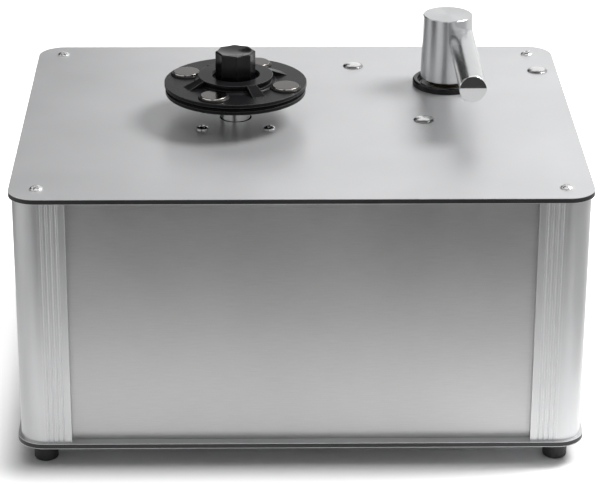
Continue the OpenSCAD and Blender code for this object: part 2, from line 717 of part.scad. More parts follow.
// Nipple through the tank's wall and the rear panel, which turns up outside into a barb
module drain_elbow() color([0.08, 0.08, 0.08]) translate([drain_x, 0, drain_z]) difference() {
    from_y = tower_back + tank_r - 4;
    union() {
        translate([0, from_y, 0]) rotate([-90, 0, 0]) cylinder(r = 3.2, h = tube_y - from_y);
        translate([0, panel_face_y - panel_t - 2.5, 0]) rotate([-90, 0, 0]) cylinder(r = 6, h = 2.4);
        translate([0, tube_y, -3.2]) cylinder(r = 3.2, h = tube_z - drain_z + 3.2);
        translate([0, tube_y, 0]) cylinder(r = 2.2, h = tube_z - drain_z + 8);
    }
    translate([0, from_y - slack, 0]) rotate([-90, 0, 0]) cylinder(r = 1.4, h = tube_y - from_y + slack);
    translate([0, tube_y, -1.4]) cylinder(r = 1.4, h = 30);
}

module level_tube() color([0.8, 0.86, 0.88, 0.5]) translate([drain_x, tube_y, tube_z])
    ring(tube_r, tube_bore_r, tube_top - tube_z);

// Spring clips that hold the level tube to the rear panel, open towards the rear
module tube_clip() difference() {
    h = 8;
    mouth_w = 4.6;
    union() {
        cylinder(r = tube_r + 0.5, h = h);
        translate([-tube_r - 1.8, -tube_r - 0.5, 0]) cube([2 * tube_r + 3.6, tube_r, h]);
    }
    translate([0, 0, -slack]) cylinder(r = tube_r + 0.05, h = h + 2 * slack);
    translate([-mouth_w / 2, 0, -slack]) cube([mouth_w, tube_r + 2, h + 2 * slack]);
}

module tube_clips() color([0.08, 0.08, 0.08])
    for (z = [92.5, 147.5]) translate([drain_x, tube_y, base_top + z]) tube_clip();

module drain_stopper() color([0.05, 0.05, 0.05]) translate([drain_x, tube_y, tube_top]) turned([
    [0, -6], [1.9, -6], [tube_bore_r - 0.05, -5], [tube_bore_r - 0.05, 0.3], [3.2, 0.3], [3.6, 1], [3.6, 5],
    [2.8, 6], [0, 6]]);

// Spindle: gear shaft, polished column, and the pin that takes the record and the clamp
module spindle() color([0.8, 0.8, 0.82]) at_spindle(0) turned([
    [0, second_stage_z - 0.5], [shaft_r - 0.5, second_stage_z - 0.5], [shaft_r, second_stage_z],
    [shaft_r, under_deck - 1], [spindle_r, under_deck - 1], [spindle_r, rest_z], [record_pin_r, rest_z],
    [record_pin_r, pin_top - 1], [record_pin_r - 0.8, pin_top], [0, pin_top]]);

module record_rest() color([0.08, 0.08, 0.09]) at_spindle(rest_z) turned([
    [record_pin_r + 0.02, 0], [rest_r - 0.4, 0], [rest_r, 0.4], [rest_r, disc_t - 0.4],
    [rest_r - 0.4, disc_t], [rest_r - 6.6, disc_t], [rest_r - 7, disc_t - 0.6],
    [record_pin_r + 0.02, disc_t - 0.6]]);

// Seals: a flat ring with two lips towards the record
module seal_ring() {
    lip = seal_gap / 2 - 0.15;
    turned([
        [rest_r - 6, 0], [rest_r - 1, 0], [rest_r - 1, lip - 0.3], [rest_r - 1.4, lip],
        [rest_r - 2.2, lip - 0.4], [rest_r - 4.8, lip - 0.4], [rest_r - 5.6, lip], [rest_r - 6, lip - 0.3]]);
}

module rest_seal() color([0.03, 0.03, 0.03]) at_spindle(rest_z + disc_t) seal_ring();

module clamp_seal() color([0.03, 0.03, 0.03]) at_spindle(clamp_z) mirror([0, 0, 1]) seal_ring();

module gear(teeth, h) linear_extrude(h) polygon(gear_points(teeth, 0.85));

module output_gear() color([0.78, 0.66, 0.35]) at_spindle(second_stage_z) difference() {
    gear(wheel_teeth, second_stage_h);
    translate([0, 0, -slack]) cylinder(r = shaft_r + 0.01, h = second_stage_h + 2 * slack);
}

// Layshaft: wheel below, which the rotor's pinion turns, and pinion above, which turns the output gear
module layshaft_gears() color([0.7, 0.6, 0.35]) at_spindle(0) translate([gear_spacing, 0, 0]) {
    translate([0, 0, first_stage_z]) rotate(180 / wheel_teeth) gear(wheel_teeth, first_stage_h);
    translate([0, 0, first_stage_z + first_stage_h - 0.1]) rotate(180 / pinion_teeth)
        gear(pinion_teeth, second_stage_h + 1.1);
    translate([0, 0, gearbox_z + 1.3]) cylinder(r = layshaft_r, h = boss_floor_z + 0.4 - gearbox_z);
}

// Rotor with its shaft, and the pinion on the shaft's top
module motor_rotor() color([0.62, 0.63, 0.65]) at_spindle(0) {
    shaft_z = gearbox_z - motor_h + 1.8;
    pinion_z = gearbox_z + gearbox_wall + 0.5;
    translate([0, 0, shaft_z]) cylinder(r = rotor_shaft_r, h = pinion_z - shaft_z);
    translate([0, 0, gearbox_z - motor_h + bell_h]) cylinder(r = rotor_r, h = motor_h - 2 * bell_h);
    translate([0, 0, pinion_z - 0.1]) gear(pinion_teeth, first_stage_h + 0.6);
}

// Four copies, a quarter turn apart
module at_quarters(turn) for (i = [0 : 3]) rotate(turn + i * 90) children();

// Rib that slopes from the hub down to the rim and widens on its way
module clamp_rib() {
    inner = hub_neck_r - 0.9;
    sink = 0.5;
    intersection() {
        translate([0, rib_end_w / 2, 0]) rotate([90, 0, 0]) linear_extrude(rib_end_w)
            polygon([[inner, clamp_top - sink], [inner, hub_top - 0.5], [hub_r + 0.2, hub_top - 0.5],
                     [rib_end_r, clamp_top], [rib_end_r, clamp_top - sink]]);
        translate([0, 0, clamp_top - sink]) linear_extrude(hub_top - clamp_top + sink)
            polygon([[inner, -rib_w / 2], [rib_end_r, -rib_end_w / 2], [rib_end_r, rib_end_w / 2],
                     [inner, rib_w / 2]]);
    }
}

// Clamp disc: rim, stepped hub with the knob's recess, four sloped ribs and four magnet seats
module clamp_disc() color([0.1, 0.1, 0.11]) at_spindle(0) difference() {
    union() {
        turned([
            [pin_bore_r, clamp_z], [clamp_r - 0.4, clamp_z], [clamp_r, clamp_z + 0.4],
            [clamp_r, clamp_top - 0.4], [clamp_r - 0.4, clamp_top], [hub_foot_r + 0.5, clamp_top],
            [hub_foot_r, clamp_top + 0.8], [hub_neck_r, clamp_top + 0.8], [hub_neck_r, hub_top - 1.3],
            [hub_r, hub_top - 1], [hub_r, hub_top - 0.5], [hub_r - 0.5, hub_top], [recess_r + 1.3, hub_top],
            [recess_r, hub_top - 1.3], [recess_r, knob_z - 0.05], [pin_bore_r, knob_z - 0.05]]);
        at_quarters(rib_turn) clamp_rib();
        at_quarters(magnet_turn) translate([magnet_circle, 0, clamp_top - 0.5]) turned([
            [0, 0], [magnet_r + 1.6, 0], [magnet_r + 1.6, 0.9], [magnet_r + 0.9, 1.7], [0, 1.7]]);
    }
    at_quarters(magnet_turn) translate([magnet_circle, 0, clamp_top - magnet_sink - 0.05])
        cylinder(r = magnet_r + 0.05, h = 6);
}

module clamp_magnets() color([0.62, 0.58, 0.54]) at_spindle(clamp_top - magnet_sink)
    at_quarters(magnet_turn) translate([magnet_circle, 0, 0]) turned(concat(
        [[0, 0], [magnet_r, 0]],
        arc_points(magnet_r - 0.8, magnet_h - 0.8, 0.8, 0, 90, 4),
        [[0, magnet_h]]));

// Eight-sided knob with hollow faces, a dished top and the blind bore for the pin
module clamp_knob() color([0.06, 0.06, 0.07]) at_spindle(0) difference() {
    scallop_r = 40;
    scallop_d = 1.5;
    dish_r = 48;
    dish_d = 1.6;
    turned(concat(
        [[pin_bore_r, knob_z], [knob_r, knob_z]],
        arc_points(knob_r - 1, knob_top - 1, 1, 0, 90, 4),
        [[0, knob_top], [0, pin_bore_top], [pin_bore_r, pin_bore_top]]));
    for (turn = [knob_turn, knob_turn + 45]) at_quarters(turn)
        translate([knob_r - scallop_d + scallop_r, 0, knob_z - slack])
            cylinder(r = scallop_r, h = 30, $fn = 180);
    translate([0, 0, knob_top + dish_r - dish_d]) sphere(dish_r);
}

// Sleeve that turns with the arm while the stem slides in it
module guide_sleeve() color([0.75, 0.6, 0.3]) at_tower(deck) turned([
    [stem_r + 0.05, -bush_drop - 2], [sleeve_r, -bush_drop - 2], [sleeve_r, 1.6], [13.6, 1.6], [13.6, 3.6],
    [stem_r + 0.05, 3.6]]);

// Spring between the sleeve's collar and the tower
module lift_spring() color([0.7, 0.71, 0.73]) {
    turns = 5;
    steps = 12;
    rise = spring_top - spring_z - 2 * spring_wire_r - 0.1;
    at_tower(deck + spring_z + spring_wire_r) swept_tube(
        [for (i = [0 : turns * steps]) [spring_r * cos(360 * i / steps), spring_r * sin(360 * i / steps),
            rise * i / (turns * steps)]], spring_wire_r, 6);
}

// Space inside the tower above the stem, which leads the air from the tube down into the stem
module air_turn() at_tower(deck + stem_top - 0.5) cylinder(r = stem_bore_r, h = arm_z + 1.5 - stem_top);

module arm_cylinder(r, from, to) at_tower(deck + arm_z) translate([arm_side, -from, 0])
    rotate([90, 0, 0]) cylinder(r = r, h = to - from);

module arm_tower() color([0.78, 0.79, 0.8]) difference() {
    at_tower(deck) turned([
        [14, tower_gap], [tower_foot_r - 0.3, tower_gap], [tower_foot_r, tower_gap + 0.4],
        [tower_top_r, tower_top - 0.5], [tower_top_r - 0.5, tower_top], [0, tower_top], [0, stem_top + 0.1],
        [stem_r + 0.02, stem_top + 0.1], [stem_r + 0.02, spring_top], [14, spring_top]]);
    arm_cylinder(arm_r + 0.02, -arm_back - 0.02, 40);
    air_turn();
}

module arm_stem() color([0.75, 0.76, 0.78]) at_tower(deck) turned([
    [stem_bore_r, -stem_drop], [stem_r, -stem_drop], [stem_r, -bush_drop - 4.3], [10.5, -bush_drop - 4.3],
    [10.5, -bush_drop - 2.3], [stem_r, -bush_drop - 2.3], [stem_r, stem_top], [stem_bore_r, stem_top]]);

module arm_tube() color([0.82, 0.83, 0.84]) difference() {
    arm_cylinder(arm_r, -arm_back, arm_reach - plug_t);
    arm_cylinder(arm_bore_r, -arm_back - slack, arm_reach);
    at_tower(deck + arm_z)
        translate([arm_side - suction_slot_w / 2, -arm_reach + suction_slot_gap, -arm_r - slack])
            cube([suction_slot_w, suction_slot_l, arm_r]);
    air_turn();
}

module arm_end_plug() color([0.85, 0.86, 0.87]) at_tower(deck + arm_z)
    translate([arm_side, -arm_reach, 0]) rotate([-90, 0, 0]) turned([
        [0, 0], [arm_r - 0.45, 0], [arm_r, 0.45], [arm_r, plug_t], [arm_bore_r - 0.02, plug_t],
        [arm_bore_r - 0.02, plug_t + 3], [arm_bore_r - 0.5, plug_t + 3.5], [0, plug_t + 3.5]]);

// Two strips of velvet under the tube, one on each side of the slot
module velvet_strips() color([0.04, 0.04, 0.05]) {
    pile = 1.15;
    strips_w = 13;
    length = suction_slot_l + 6;
    intersection() {
        difference() {
            arm_cylinder(arm_r + pile, arm_reach - 3 - length, arm_reach - 3);
            arm_cylinder(arm_r + 0.03, 0, arm_reach);
        }
        for (side = [-1, 1]) at_tower(deck + arm_z)
            translate([arm_side + side * (suction_slot_w + strips_w) / 4, -arm_reach / 2, -arm_r])
                cube([(strips_w - suction_slot_w) / 2, arm_reach, arm_r], center = true);
    }
}

// Armature and fan on one shaft
module turbine_impeller() color([0.7, 0.71, 0.73]) translate([turbine_x, turbine_y, 0]) {
    blade_z = turbine_z + 8;
    shaft_z = turbine_motor_z + 3;
    blades = 9;
    translate([0, 0, shaft_z]) cylinder(r = turbine_shaft_r, h = blade_z + 12 - shaft_z);
    translate([0, 0, armature_z]) cylinder(r = armature_r, h = armature_h);
    translate([0, 0, blade_z]) cylinder(r = 44, h = 2.5);
    translate([0, 0, blade_z]) cylinder(r = 10, h = 20);
    for (i = [0 : blades - 1]) rotate(i * 360 / blades)
        translate([8, 0, blade_z + 2]) rotate(-25) cube([32, 2, 16]);
}

base_plate_core();
base_plate_skins();
top_plate_core();
top_plate_skins();
corner_post_front_left();
corner_post_front_right();
corner_post_rear_left();
corner_post_rear_right();
front_panel();
rear_panel();
left_panel();
right_panel();
corner_screws();
foot_screws();
feet();
dome_screws();
motor_screws();
gearbox_case();
gearbox_cover();
spindle_bearings();
motor_stator();
motor_end_bells();
tower_ring();
stem_bush();
tank_lid();
tank_gasket();
waste_tank();
suction_hose();
turbine_housing();
turbine_motor();
turbine_mount();
circuit_board();
transformer();
wiring();
mains_inlet();
switch_frames();
drain_elbow();
level_tube();
tube_clips();
spindle();
record_rest();
rest_seal();
output_gear();
clamp_disc();
clamp_seal();
clamp_magnets();
clamp_knob();
layshaft_gears();
motor_rotor();
guide_sleeve();
lift_spring();
arm_tower();
arm_stem();
arm_tube();
arm_end_plug();
velvet_strips();
turbine_impeller();
motor_rocker();
suction_rocker();
drain_stopper();
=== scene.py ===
import json
import math

import bmesh
import bpy
from mathutils import Matrix, Vector


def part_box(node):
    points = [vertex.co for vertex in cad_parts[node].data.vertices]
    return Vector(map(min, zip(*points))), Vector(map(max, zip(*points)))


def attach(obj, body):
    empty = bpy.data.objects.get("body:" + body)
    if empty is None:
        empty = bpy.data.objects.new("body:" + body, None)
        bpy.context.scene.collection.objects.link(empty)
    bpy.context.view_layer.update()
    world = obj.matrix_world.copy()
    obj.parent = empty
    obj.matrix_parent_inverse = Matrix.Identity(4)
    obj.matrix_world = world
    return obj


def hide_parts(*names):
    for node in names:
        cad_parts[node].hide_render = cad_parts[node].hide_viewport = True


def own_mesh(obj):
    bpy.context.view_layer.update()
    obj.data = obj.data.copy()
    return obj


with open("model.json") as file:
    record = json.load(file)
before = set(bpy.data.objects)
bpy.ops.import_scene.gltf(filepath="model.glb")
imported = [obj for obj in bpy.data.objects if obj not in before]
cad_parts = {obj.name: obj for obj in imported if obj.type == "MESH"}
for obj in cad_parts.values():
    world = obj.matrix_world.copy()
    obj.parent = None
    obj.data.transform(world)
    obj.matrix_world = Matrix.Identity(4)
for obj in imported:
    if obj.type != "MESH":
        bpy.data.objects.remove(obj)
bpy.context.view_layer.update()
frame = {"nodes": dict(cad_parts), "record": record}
nodes = frame["nodes"]
MM = 0.001

# Places that the frame gives
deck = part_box("top_plate_skins")[1].z
foot_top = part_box("feet")[1].z


def centre_of(node):
    """Middle of a CAD node's box."""
    low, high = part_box(node)
    return (low + high) / 2


spindle_axis = centre_of("record_rest")
tower_axis = centre_of("tower_ring")


# Material helpers
class Paint:
    """One node material, built on a Principled shader with coordinates in metres."""

    def __init__(self, name, **settings):
        self.material = bpy.data.materials.new(name)
        self.material.use_nodes = True
        self.tree = self.material.node_tree
        self.shader = self.tree.nodes["Principled BSDF"]
        self.place = self.node("ShaderNodeTexCoord").outputs["Object"]
        for key, value in settings.items():
            self.shader.inputs[key.replace("_", " ")].default_value = value

    def node(self, kind, **settings):
        made = self.tree.nodes.new(kind)
        for key, value in settings.items():
            setattr(made, key, value)
        return made

    def feed(self, socket, value):
        if isinstance(value, bpy.types.NodeSocket):
            self.tree.links.new(value, socket)
        else:
            socket.default_value = value

    def stretched(self, scale):
        """Coordinates scaled by one number an axis."""
        mapping = self.node("ShaderNodeMapping")
        self.feed(mapping.inputs["Vector"], self.place)
        mapping.inputs["Scale"].default_value = scale
        return mapping.outputs["Vector"]

    def noise(self, scale, detail=3.0, roughness=0.55, place=None):
        made = self.node("ShaderNodeTexNoise")
        self.feed(made.inputs["Vector"], place or self.place)
        made.inputs["Scale"].default_value = scale
        made.inputs["Detail"].default_value = detail
        made.inputs["Roughness"].default_value = roughness
        return made.outputs["Fac"]

    def math(self, operation, a, b=0.0, clamp=False):
        made = self.node("ShaderNodeMath", operation=operation, use_clamp=clamp)
        self.feed(made.inputs[0], a)
        self.feed(made.inputs[1], b)
        return made.outputs[0]

    def spread(self, value, low, high, start=0.3, end=0.7):
        """Value from start to end, spread over low to high."""
        made = self.node("ShaderNodeMapRange")
        self.feed(made.inputs["Value"], value)
        for name, number in zip(("From Min", "From Max", "To Min", "To Max"), (start, end, low, high)):
            made.inputs[name].default_value = number
        return made.outputs["Result"]

    def blend(self, factor, a, b, mode="MIX"):
        made = self.node("ShaderNodeMix", data_type="RGBA", blend_type=mode)
        self.feed(made.inputs["Factor"], factor)
        self.feed(made.inputs["A"], a)
        self.feed(made.inputs["B"], b)
        return made.outputs["Result"]

    def radius(self, axis):
        """Distance from a vertical axis."""
        shift = self.node("ShaderNodeVectorMath", operation="SUBTRACT")
        self.feed(shift.inputs[0], self.place)
        shift.inputs[1].default_value = (axis.x, axis.y, 0)
        flat = self.node("ShaderNodeVectorMath", operation="MULTIPLY")
        self.feed(flat.inputs[0], shift.outputs[0])
        flat.inputs[1].default_value = (1, 1, 0)
        length = self.node("ShaderNodeVectorMath", operation="LENGTH")
        self.feed(length.inputs[0], flat.outputs[0])
        return length.outputs["Value"]

    def lines(self, value, scale, detail=2.0):
        """Uneven fine lines along one measure, such as a height or a radius."""
        made = self.node("ShaderNodeTexNoise", noise_dimensions="1D")
        self.feed(made.inputs["W"], value)
        made.inputs["Scale"].default_value = scale
        made.inputs["Detail"].default_value = detail
        return made.outputs["Fac"]

    def part(self, name):
        """X, Y or Z of the place."""
        split = self.node("ShaderNodeSeparateXYZ")
        self.feed(split.inputs[0], self.place)
        return split.outputs[name]

    def edges(self, width, full):
        """1 along sharp edges and 0 away from them; full is the cosine at which it reaches 1."""
        flat = 0.99
        soft = self.node("ShaderNodeBevel", samples=4)
        soft.inputs["Radius"].default_value = width
        plain = self.node("ShaderNodeNewGeometry")
        dot = self.node("ShaderNodeVectorMath", operation="DOT_PRODUCT")
        self.feed(dot.inputs[0], soft.outputs["Normal"])
        self.feed(dot.inputs[1], plain.outputs["Normal"])
        return self.spread(dot.outputs["Value"], 1.0, 0.0, full, flat)

    def colour(self, value):
        self.feed(self.shader.inputs["Base Color"], value)

    def rough(self, value):
        self.feed(self.shader.inputs["Roughness"], value)

    def bump(self, height, distance):
        made = self.node("ShaderNodeBump")
        made.inputs["Distance"].default_value = distance
        self.feed(made.inputs["Height"], height)
        self.feed(self.shader.inputs["Normal"], made.outputs["Normal"])


def shade(level, tint=(1.0, 1.0, 1.0)):
    """A grey of one level, or the tint times it."""
    return (level * tint[0], level * tint[1], level * tint[2], 1.0)


def satin_metal(name, level, rough, grain, tint=(1, 1, 1), edge_wear_and_highlight=0.0, depth=0.006, metallic=1.0, contrast=0.07,
                worn_and_highlit_width=0.3):
    """Blasted, brushed or extruded metal: fine grain along the axis of the smallest scale."""
    paint = Paint(name, Metallic=metallic)
    fine = paint.noise(1.0, 2.0, place=paint.stretched(grain))
    broad = paint.noise(9.0, 3.0)
    tone = paint.blend(paint.spread(broad, 0, 1), shade(level * 0.95, tint), shade(level * 1.04, tint))
    grained = paint.blend(paint.spread(fine, 0, 1, 0.2, 0.8), shade(1.0 - contrast), shade(1.0))
    tone = paint.blend(1.0, tone, grained, "MULTIPLY")
    texture = paint.math("ADD", paint.math("MULTIPLY", fine, 0.6), paint.math("MULTIPLY", broad, 0.4))
    roughness = paint.spread(texture, rough * 0.88, rough * 1.14)
    # Sharp edges lightened: edge wear and a painted highlight along them
    if edge_wear_and_highlight:
        worn_and_highlit_level = 0.95
        worn_roughness = 0.45
        worn_and_highlit = paint.math("MULTIPLY", paint.edges(worn_and_highlit_width * MM, 0.92), edge_wear_and_highlight)
        tone = paint.blend(worn_and_highlit, tone, shade(worn_and_highlit_level, tint))
        roughness = paint.math("ADD", roughness, paint.math("MULTIPLY", worn_and_highlit, worn_roughness), clamp=True)
    paint.colour(tone)
    paint.rough(roughness)
    paint.bump(fine, depth * MM)
    return paint.material


def lathe_metal(name, level, rough, axis, line_scale, depth, tint=(1, 1, 1), anisotropy=0.7):
    """Turned metal: fine rings round the axis on the sides and on the flat ends."""
    paint = Paint(name, Metallic=1.0, Anisotropic=anisotropy, Anisotropic_Rotation=0.25)
    tangent = paint.node("ShaderNodeTangent", direction_type="RADIAL", axis="Z")
    paint.feed(paint.shader.inputs["Tangent"], tangent.outputs[0])
    measure = paint.math("ADD", paint.radius(axis), paint.part("Z"))
    rings = paint.lines(measure, line_scale)
    broad = paint.noise(30.0, 3.0)
    paint.colour(paint.blend(paint.spread(rings, 0, 1), shade(level * 0.94, tint), shade(level * 1.03, tint)))
    paint.rough(paint.spread(broad, rough * 0.95, rough * 1.06))
    paint.bump(rings, depth * MM)
    return paint.material


def polished_metal(name, level, rough, tint=(1, 1, 1), grain=(500, 500, 500), depth=0.0008, rim=None):
    """Polished or plated metal with faint hairlines and handling marks.

    rim is the height of a raised face and the level at which the sides below it are painted, a painted
    reflection lighter or darker than the face.
    """
    paint = Paint(name, Metallic=1.0)
    hair = paint.noise(1.0, 4.0, place=paint.stretched(grain))
    marks = paint.noise(60.0, 5.0, 0.6)
    tone = paint.blend(paint.spread(marks, 0, 1), shade(level * 0.94, tint), shade(level, tint))
    # Sides below the face painted at another level: a painted reflection
    if rim:
        rim_top, painted_side_level = rim
        face = paint.spread(paint.part("Z"), 0, 1, rim_top - 0.45 * MM, rim_top - 0.08 * MM)
        tone = paint.blend(face, shade(painted_side_level, tint), tone)
    paint.colour(tone)
    paint.rough(paint.spread(paint.math("MULTIPLY", hair, marks), rough * 0.85, rough * 1.2, 0.1, 0.5))
    paint.bump(hair, depth * MM)
    return paint.material


def moulded(name, colour, rough, grain=1500, depth=0.02, edge_wear_and_highlight=0.0, rubbed_and_highlit_width=0.5, **settings):
    """Moulded plastic or rubber with a fine texture, slight dust and edges lightened as rubbing and as a
    painted highlight.
    """
    paint = Paint(name, **settings)
    fine = paint.noise(grain, 3.0, 0.6)
    broad = paint.noise(25.0, 4.0)
    darker = tuple(0.86 * c for c in colour) + (1.0,)
    lighter = tuple(min(1.0, 1.10 * c + 0.001) for c in colour) + (1.0,)
    tone = paint.blend(paint.spread(broad, 0, 1), darker, lighter)
    # Sharp edges lightened: rubbing and a painted highlight along them
    if edge_wear_and_highlight:
        rubbed_and_highlit = tuple(min(1.0, 1.5 * c + 0.12) for c in colour) + (1.0,)
        tone = paint.blend(paint.math("MULTIPLY", paint.edges(rubbed_and_highlit_width * MM, 0.9), edge_wear_and_highlight), tone, rubbed_and_highlit)
    paint.colour(tone)
    paint.rough(paint.spread(broad, rough * 0.88, rough * 1.12))
    paint.bump(fine, depth * MM)
    return paint.material


def velvet_cloth():
    """Short black pile with a soft sheen and brushed patches."""
    paint = Paint("velvet", Roughness=0.95, Sheen_Weight=0.6, Sheen_Roughness=0.4)
    pile = paint.noise(6000, 2.0, 0.7)
    nap = paint.noise(220, 4.0, 0.6)
    tone = paint.blend(paint.spread(nap, 0, 1), shade(0.006), shade(0.022, (1, 1, 1.08)))
    paint.colour(paint.blend(paint.spread(pile, 0, 1), shade(0.004), tone))
    paint.bump(pile, 0.25 * MM)
    return paint.material


def clear_plastic():
    """Clear tube wall with faint ripples and a trace of haze."""
    paint = Paint("clear_tube", Transmission_Weight=1.0, IOR=1.45)
    ripple = paint.noise(1.0, 2.0, place=paint.stretched((300, 300, 60)))
    paint.colour(paint.blend(paint.spread(ripple, 0, 1), shade(0.86, (0.97, 1, 1)), shade(0.95)))
    paint.rough(paint.spread(ripple, 0.03, 0.12))
    paint.bump(ripple, 0.01 * MM)
    return paint.material


def board_green():
    """Green solder mask over traces, with pads as light spots."""
    paint = Paint("board_green", Roughness=0.35)
    traces = paint.node("ShaderNodeTexBrick")
    paint.feed(traces.inputs["Vector"], paint.place)
    traces.inputs["Scale"].default_value = 160.0
    traces.inputs["Mortar Size"].default_value = 0.03
    greens = {"Color1": (0.02, 0.16, 0.06), "Color2": (0.02, 0.19, 0.07), "Mortar": (0.05, 0.3, 0.12)}
    for name, value in greens.items():
        traces.inputs[name].default_value = value + (1.0,)
    speck = paint.noise(900, 2.0)
    pads = shade(0.25, (0.5, 1, 0.6))
    paint.colour(paint.blend(paint.spread(speck, 0, 0.4), traces.outputs["Color"], pads))
    paint.bump(traces.outputs["Fac"], 0.03 * MM)
    return paint.material


def laminated_steel():
    """Stacked sheets with thin varnished gaps between them."""
    paint = Paint("motor_steel", Metallic=0.9)
    sheets = paint.lines(paint.part("Z"), 1600, 0.0)
    grime = paint.noise(40, 4.0)
    paint.colour(paint.blend(paint.spread(sheets, 0, 1), shade(0.12), shade(0.34, (1, 1, 1.03))))
    paint.rough(paint.spread(grime, 0.35, 0.6))
    paint.bump(sheets, 0.05 * MM)
    return paint.material


# Paints by material slot, and those of scene pieces that share a slot
paints = {
    "plate_skin": satin_metal("plate_skin", 0.63, 0.39, (4200, 4200, 4200), tint=(0.98, 0.985, 1.0), edge_wear_and_highlight=0.5,
                              metallic=0.55),
    "plate_core": moulded("plate_core", (0.012, 0.012, 0.013), 0.45, grain=2500),
    # The posts' wide lightened edges are painted highlight lines along their grooves
    "post_metal": satin_metal("post_metal", 0.575, 0.34, (3000, 3000, 30), tint=(0.985, 0.99, 1.0), edge_wear_and_highlight=0.8,
                              metallic=0.78, worn_and_highlit_width=0.65),
    "panel_metal": satin_metal("panel_metal", 0.45, 0.37, (70, 70, 1500), edge_wear_and_highlight=0.3, depth=0.006, metallic=0.9,
                               contrast=0.12),
    "screw_steel": satin_metal("screw_steel", 0.72, 0.2, (900, 900, 900), edge_wear_and_highlight=0.6),
    # Dome heads painted darker low on their slope: a painted dark reflection round each head's foot
    "dome_chrome": polished_metal("dome_chrome", 0.8, 0.24, rim=(deck + 1.75 * MM, 0.3)),
    "rubber": moulded("rubber", (0.016, 0.016, 0.017), 0.62, grain=900, depth=0.03),
    # Seal rubber darker and less shiny than the feet's: black rubber with painted shade for the gap between
    # the discs
    "gap_shaded_seal_rubber": moulded("gap_shaded_seal_rubber", (0.004, 0.004, 0.004), 0.5, grain=1200, depth=0.01,
                           Specular_IOR_Level=0.1),
    "cast_alloy": satin_metal("cast_alloy", 0.42, 0.5, (700, 700, 700), depth=0.06),
    "bearing_steel": polished_metal("bearing_steel", 0.66, 0.18, grain=(900, 900, 900)),
    "motor_steel": laminated_steel(),
    "black_plastic": moulded("black_plastic", (0.009, 0.009, 0.01), 0.28, grain=1700, depth=0.012, edge_wear_and_highlight=0.85,
                             rubbed_and_highlit_width=0.9, Specular_IOR_Level=0.09),
    "gloss_black": moulded("gloss_black", (0.004, 0.004, 0.005), 0.18, grain=600, depth=0.004, edge_wear_and_highlight=0.45,
                           Specular_IOR_Level=0.28),
    "bush_plastic": moulded("bush_plastic", (0.74, 0.72, 0.66), 0.35, grain=700, depth=0.004),
    "lid_plastic": moulded("lid_plastic", (0.10, 0.10, 0.11), 0.5, grain=900),
    "tank_plastic": moulded("tank_plastic", (0.72, 0.74, 0.73), 0.42, grain=300, depth=0.03,
                            Transmission_Weight=0.25),
    "clear_tube": clear_plastic(),
    "board_green": board_green(),
    "spindle_steel": lathe_metal("spindle_steel", 0.78, 0.08, spindle_axis, line_scale=2500, depth=0.0006,
                                 anisotropy=0.2),
    "brass": satin_metal("brass", 0.75, 0.28, (1500, 1500, 1500), tint=(1.0, 0.74, 0.36)),
    # Magnets painted almost black on top with light sides: a painted dark reflection on the face and painted
    # highlight crescents round it
    "magnet_nickel": polished_metal("magnet_nickel", 0.085, 0.16, tint=(1.0, 0.93, 0.87),
                                    rim=(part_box("clamp_magnets")[1].z, 0.7)),
    "tower_metal": lathe_metal("tower_metal", 0.60, 0.24, tower_axis, line_scale=2200, depth=0.003,
                               tint=(0.98, 0.99, 1.0)),
    "arm_metal": polished_metal("arm_metal", 0.63, 0.25, tint=(0.98, 0.99, 1.0), grain=(900, 10, 900),
                                depth=0.0001),
    "plug_mirror": polished_metal("plug_mirror", 0.88, 0.03, grain=(700, 700, 700), depth=0.0002),
    # Bronze painted near black: painted shade for the sleeve in the dark gap under the tower
    "shade_darkened_bronze": satin_metal("shade_darkened_bronze", 0.10, 0.3, (1500, 1500, 1500), tint=(1.0, 0.72, 0.4)),
    "velvet": velvet_cloth(),
}


# Mesh helpers
def softened(points, radius, steps=4, closed=True):
    """The outline with each corner rounded by a short curve."""
    result = []
    count = len(points)
    for i, point in enumerate(points):
        if not closed and i in (0, count - 1):
            result.append(point)
            continue
        before = Vector(points[i - 1])
        here = Vector(point)
        after = Vector(points[(i + 1) % count])
        reach_back = min(radius, 0.45 * (before - here).length)
        reach_on = min(radius, 0.45 * (after - here).length)
        start = here + (before - here).normalized() * reach_back
        end = here + (after - here).normalized() * reach_on
        for k in range(steps + 1):
            t = k / steps
            result.append(tuple(start * (1 - t) ** 2 + here * 2 * t * (1 - t) + end * t * t))
    return result


def mesh_from(bm, name, sharp):
    """A mesh with smooth faces and sharp edges where the surface turns by more than sharp degrees."""
    bmesh.ops.remove_doubles(bm, verts=bm.verts, dist=1e-7)
    bmesh.ops.recalc_face_normals(bm, faces=bm.faces)
    mesh = bpy.data.meshes.new(name)
    bm.to_mesh(mesh)
    bm.free()
    mesh.shade_smooth()
    mesh.set_sharp_from_angle(angle=math.radians(sharp))
    return mesh


def add_turned(bm, outline, place=(0, 0), steps=96, closed=True):
    """Turns an outline of (radius, height) about a vertical axis."""
    rings = []
    for r, z in outline:
        if r < 1e-7:
            rings.append([bm.verts.new((place[0], place[1], z))])
            continue
        rings.append([bm.verts.new((place[0] + r * math.cos(2 * math.pi * k / steps),
                                    place[1] + r * math.sin(2 * math.pi * k / steps), z))
                      for k in range(steps)])
    pairs = list(zip(rings, rings[1:])) + ([(rings[-1], rings[0])] if closed else [])
    for a, b in pairs:
        for k in range(steps):
            m = (k + 1) % steps
            if len(a) == 1 and len(b) == 1:
                continue
            if len(a) == 1:
                bm.faces.new((a[0], b[m], b[k]))
            elif len(b) == 1:
                bm.faces.new((a[k], a[m], b[0]))
            else:
                bm.faces.new((a[k], a[m], b[m], b[k]))


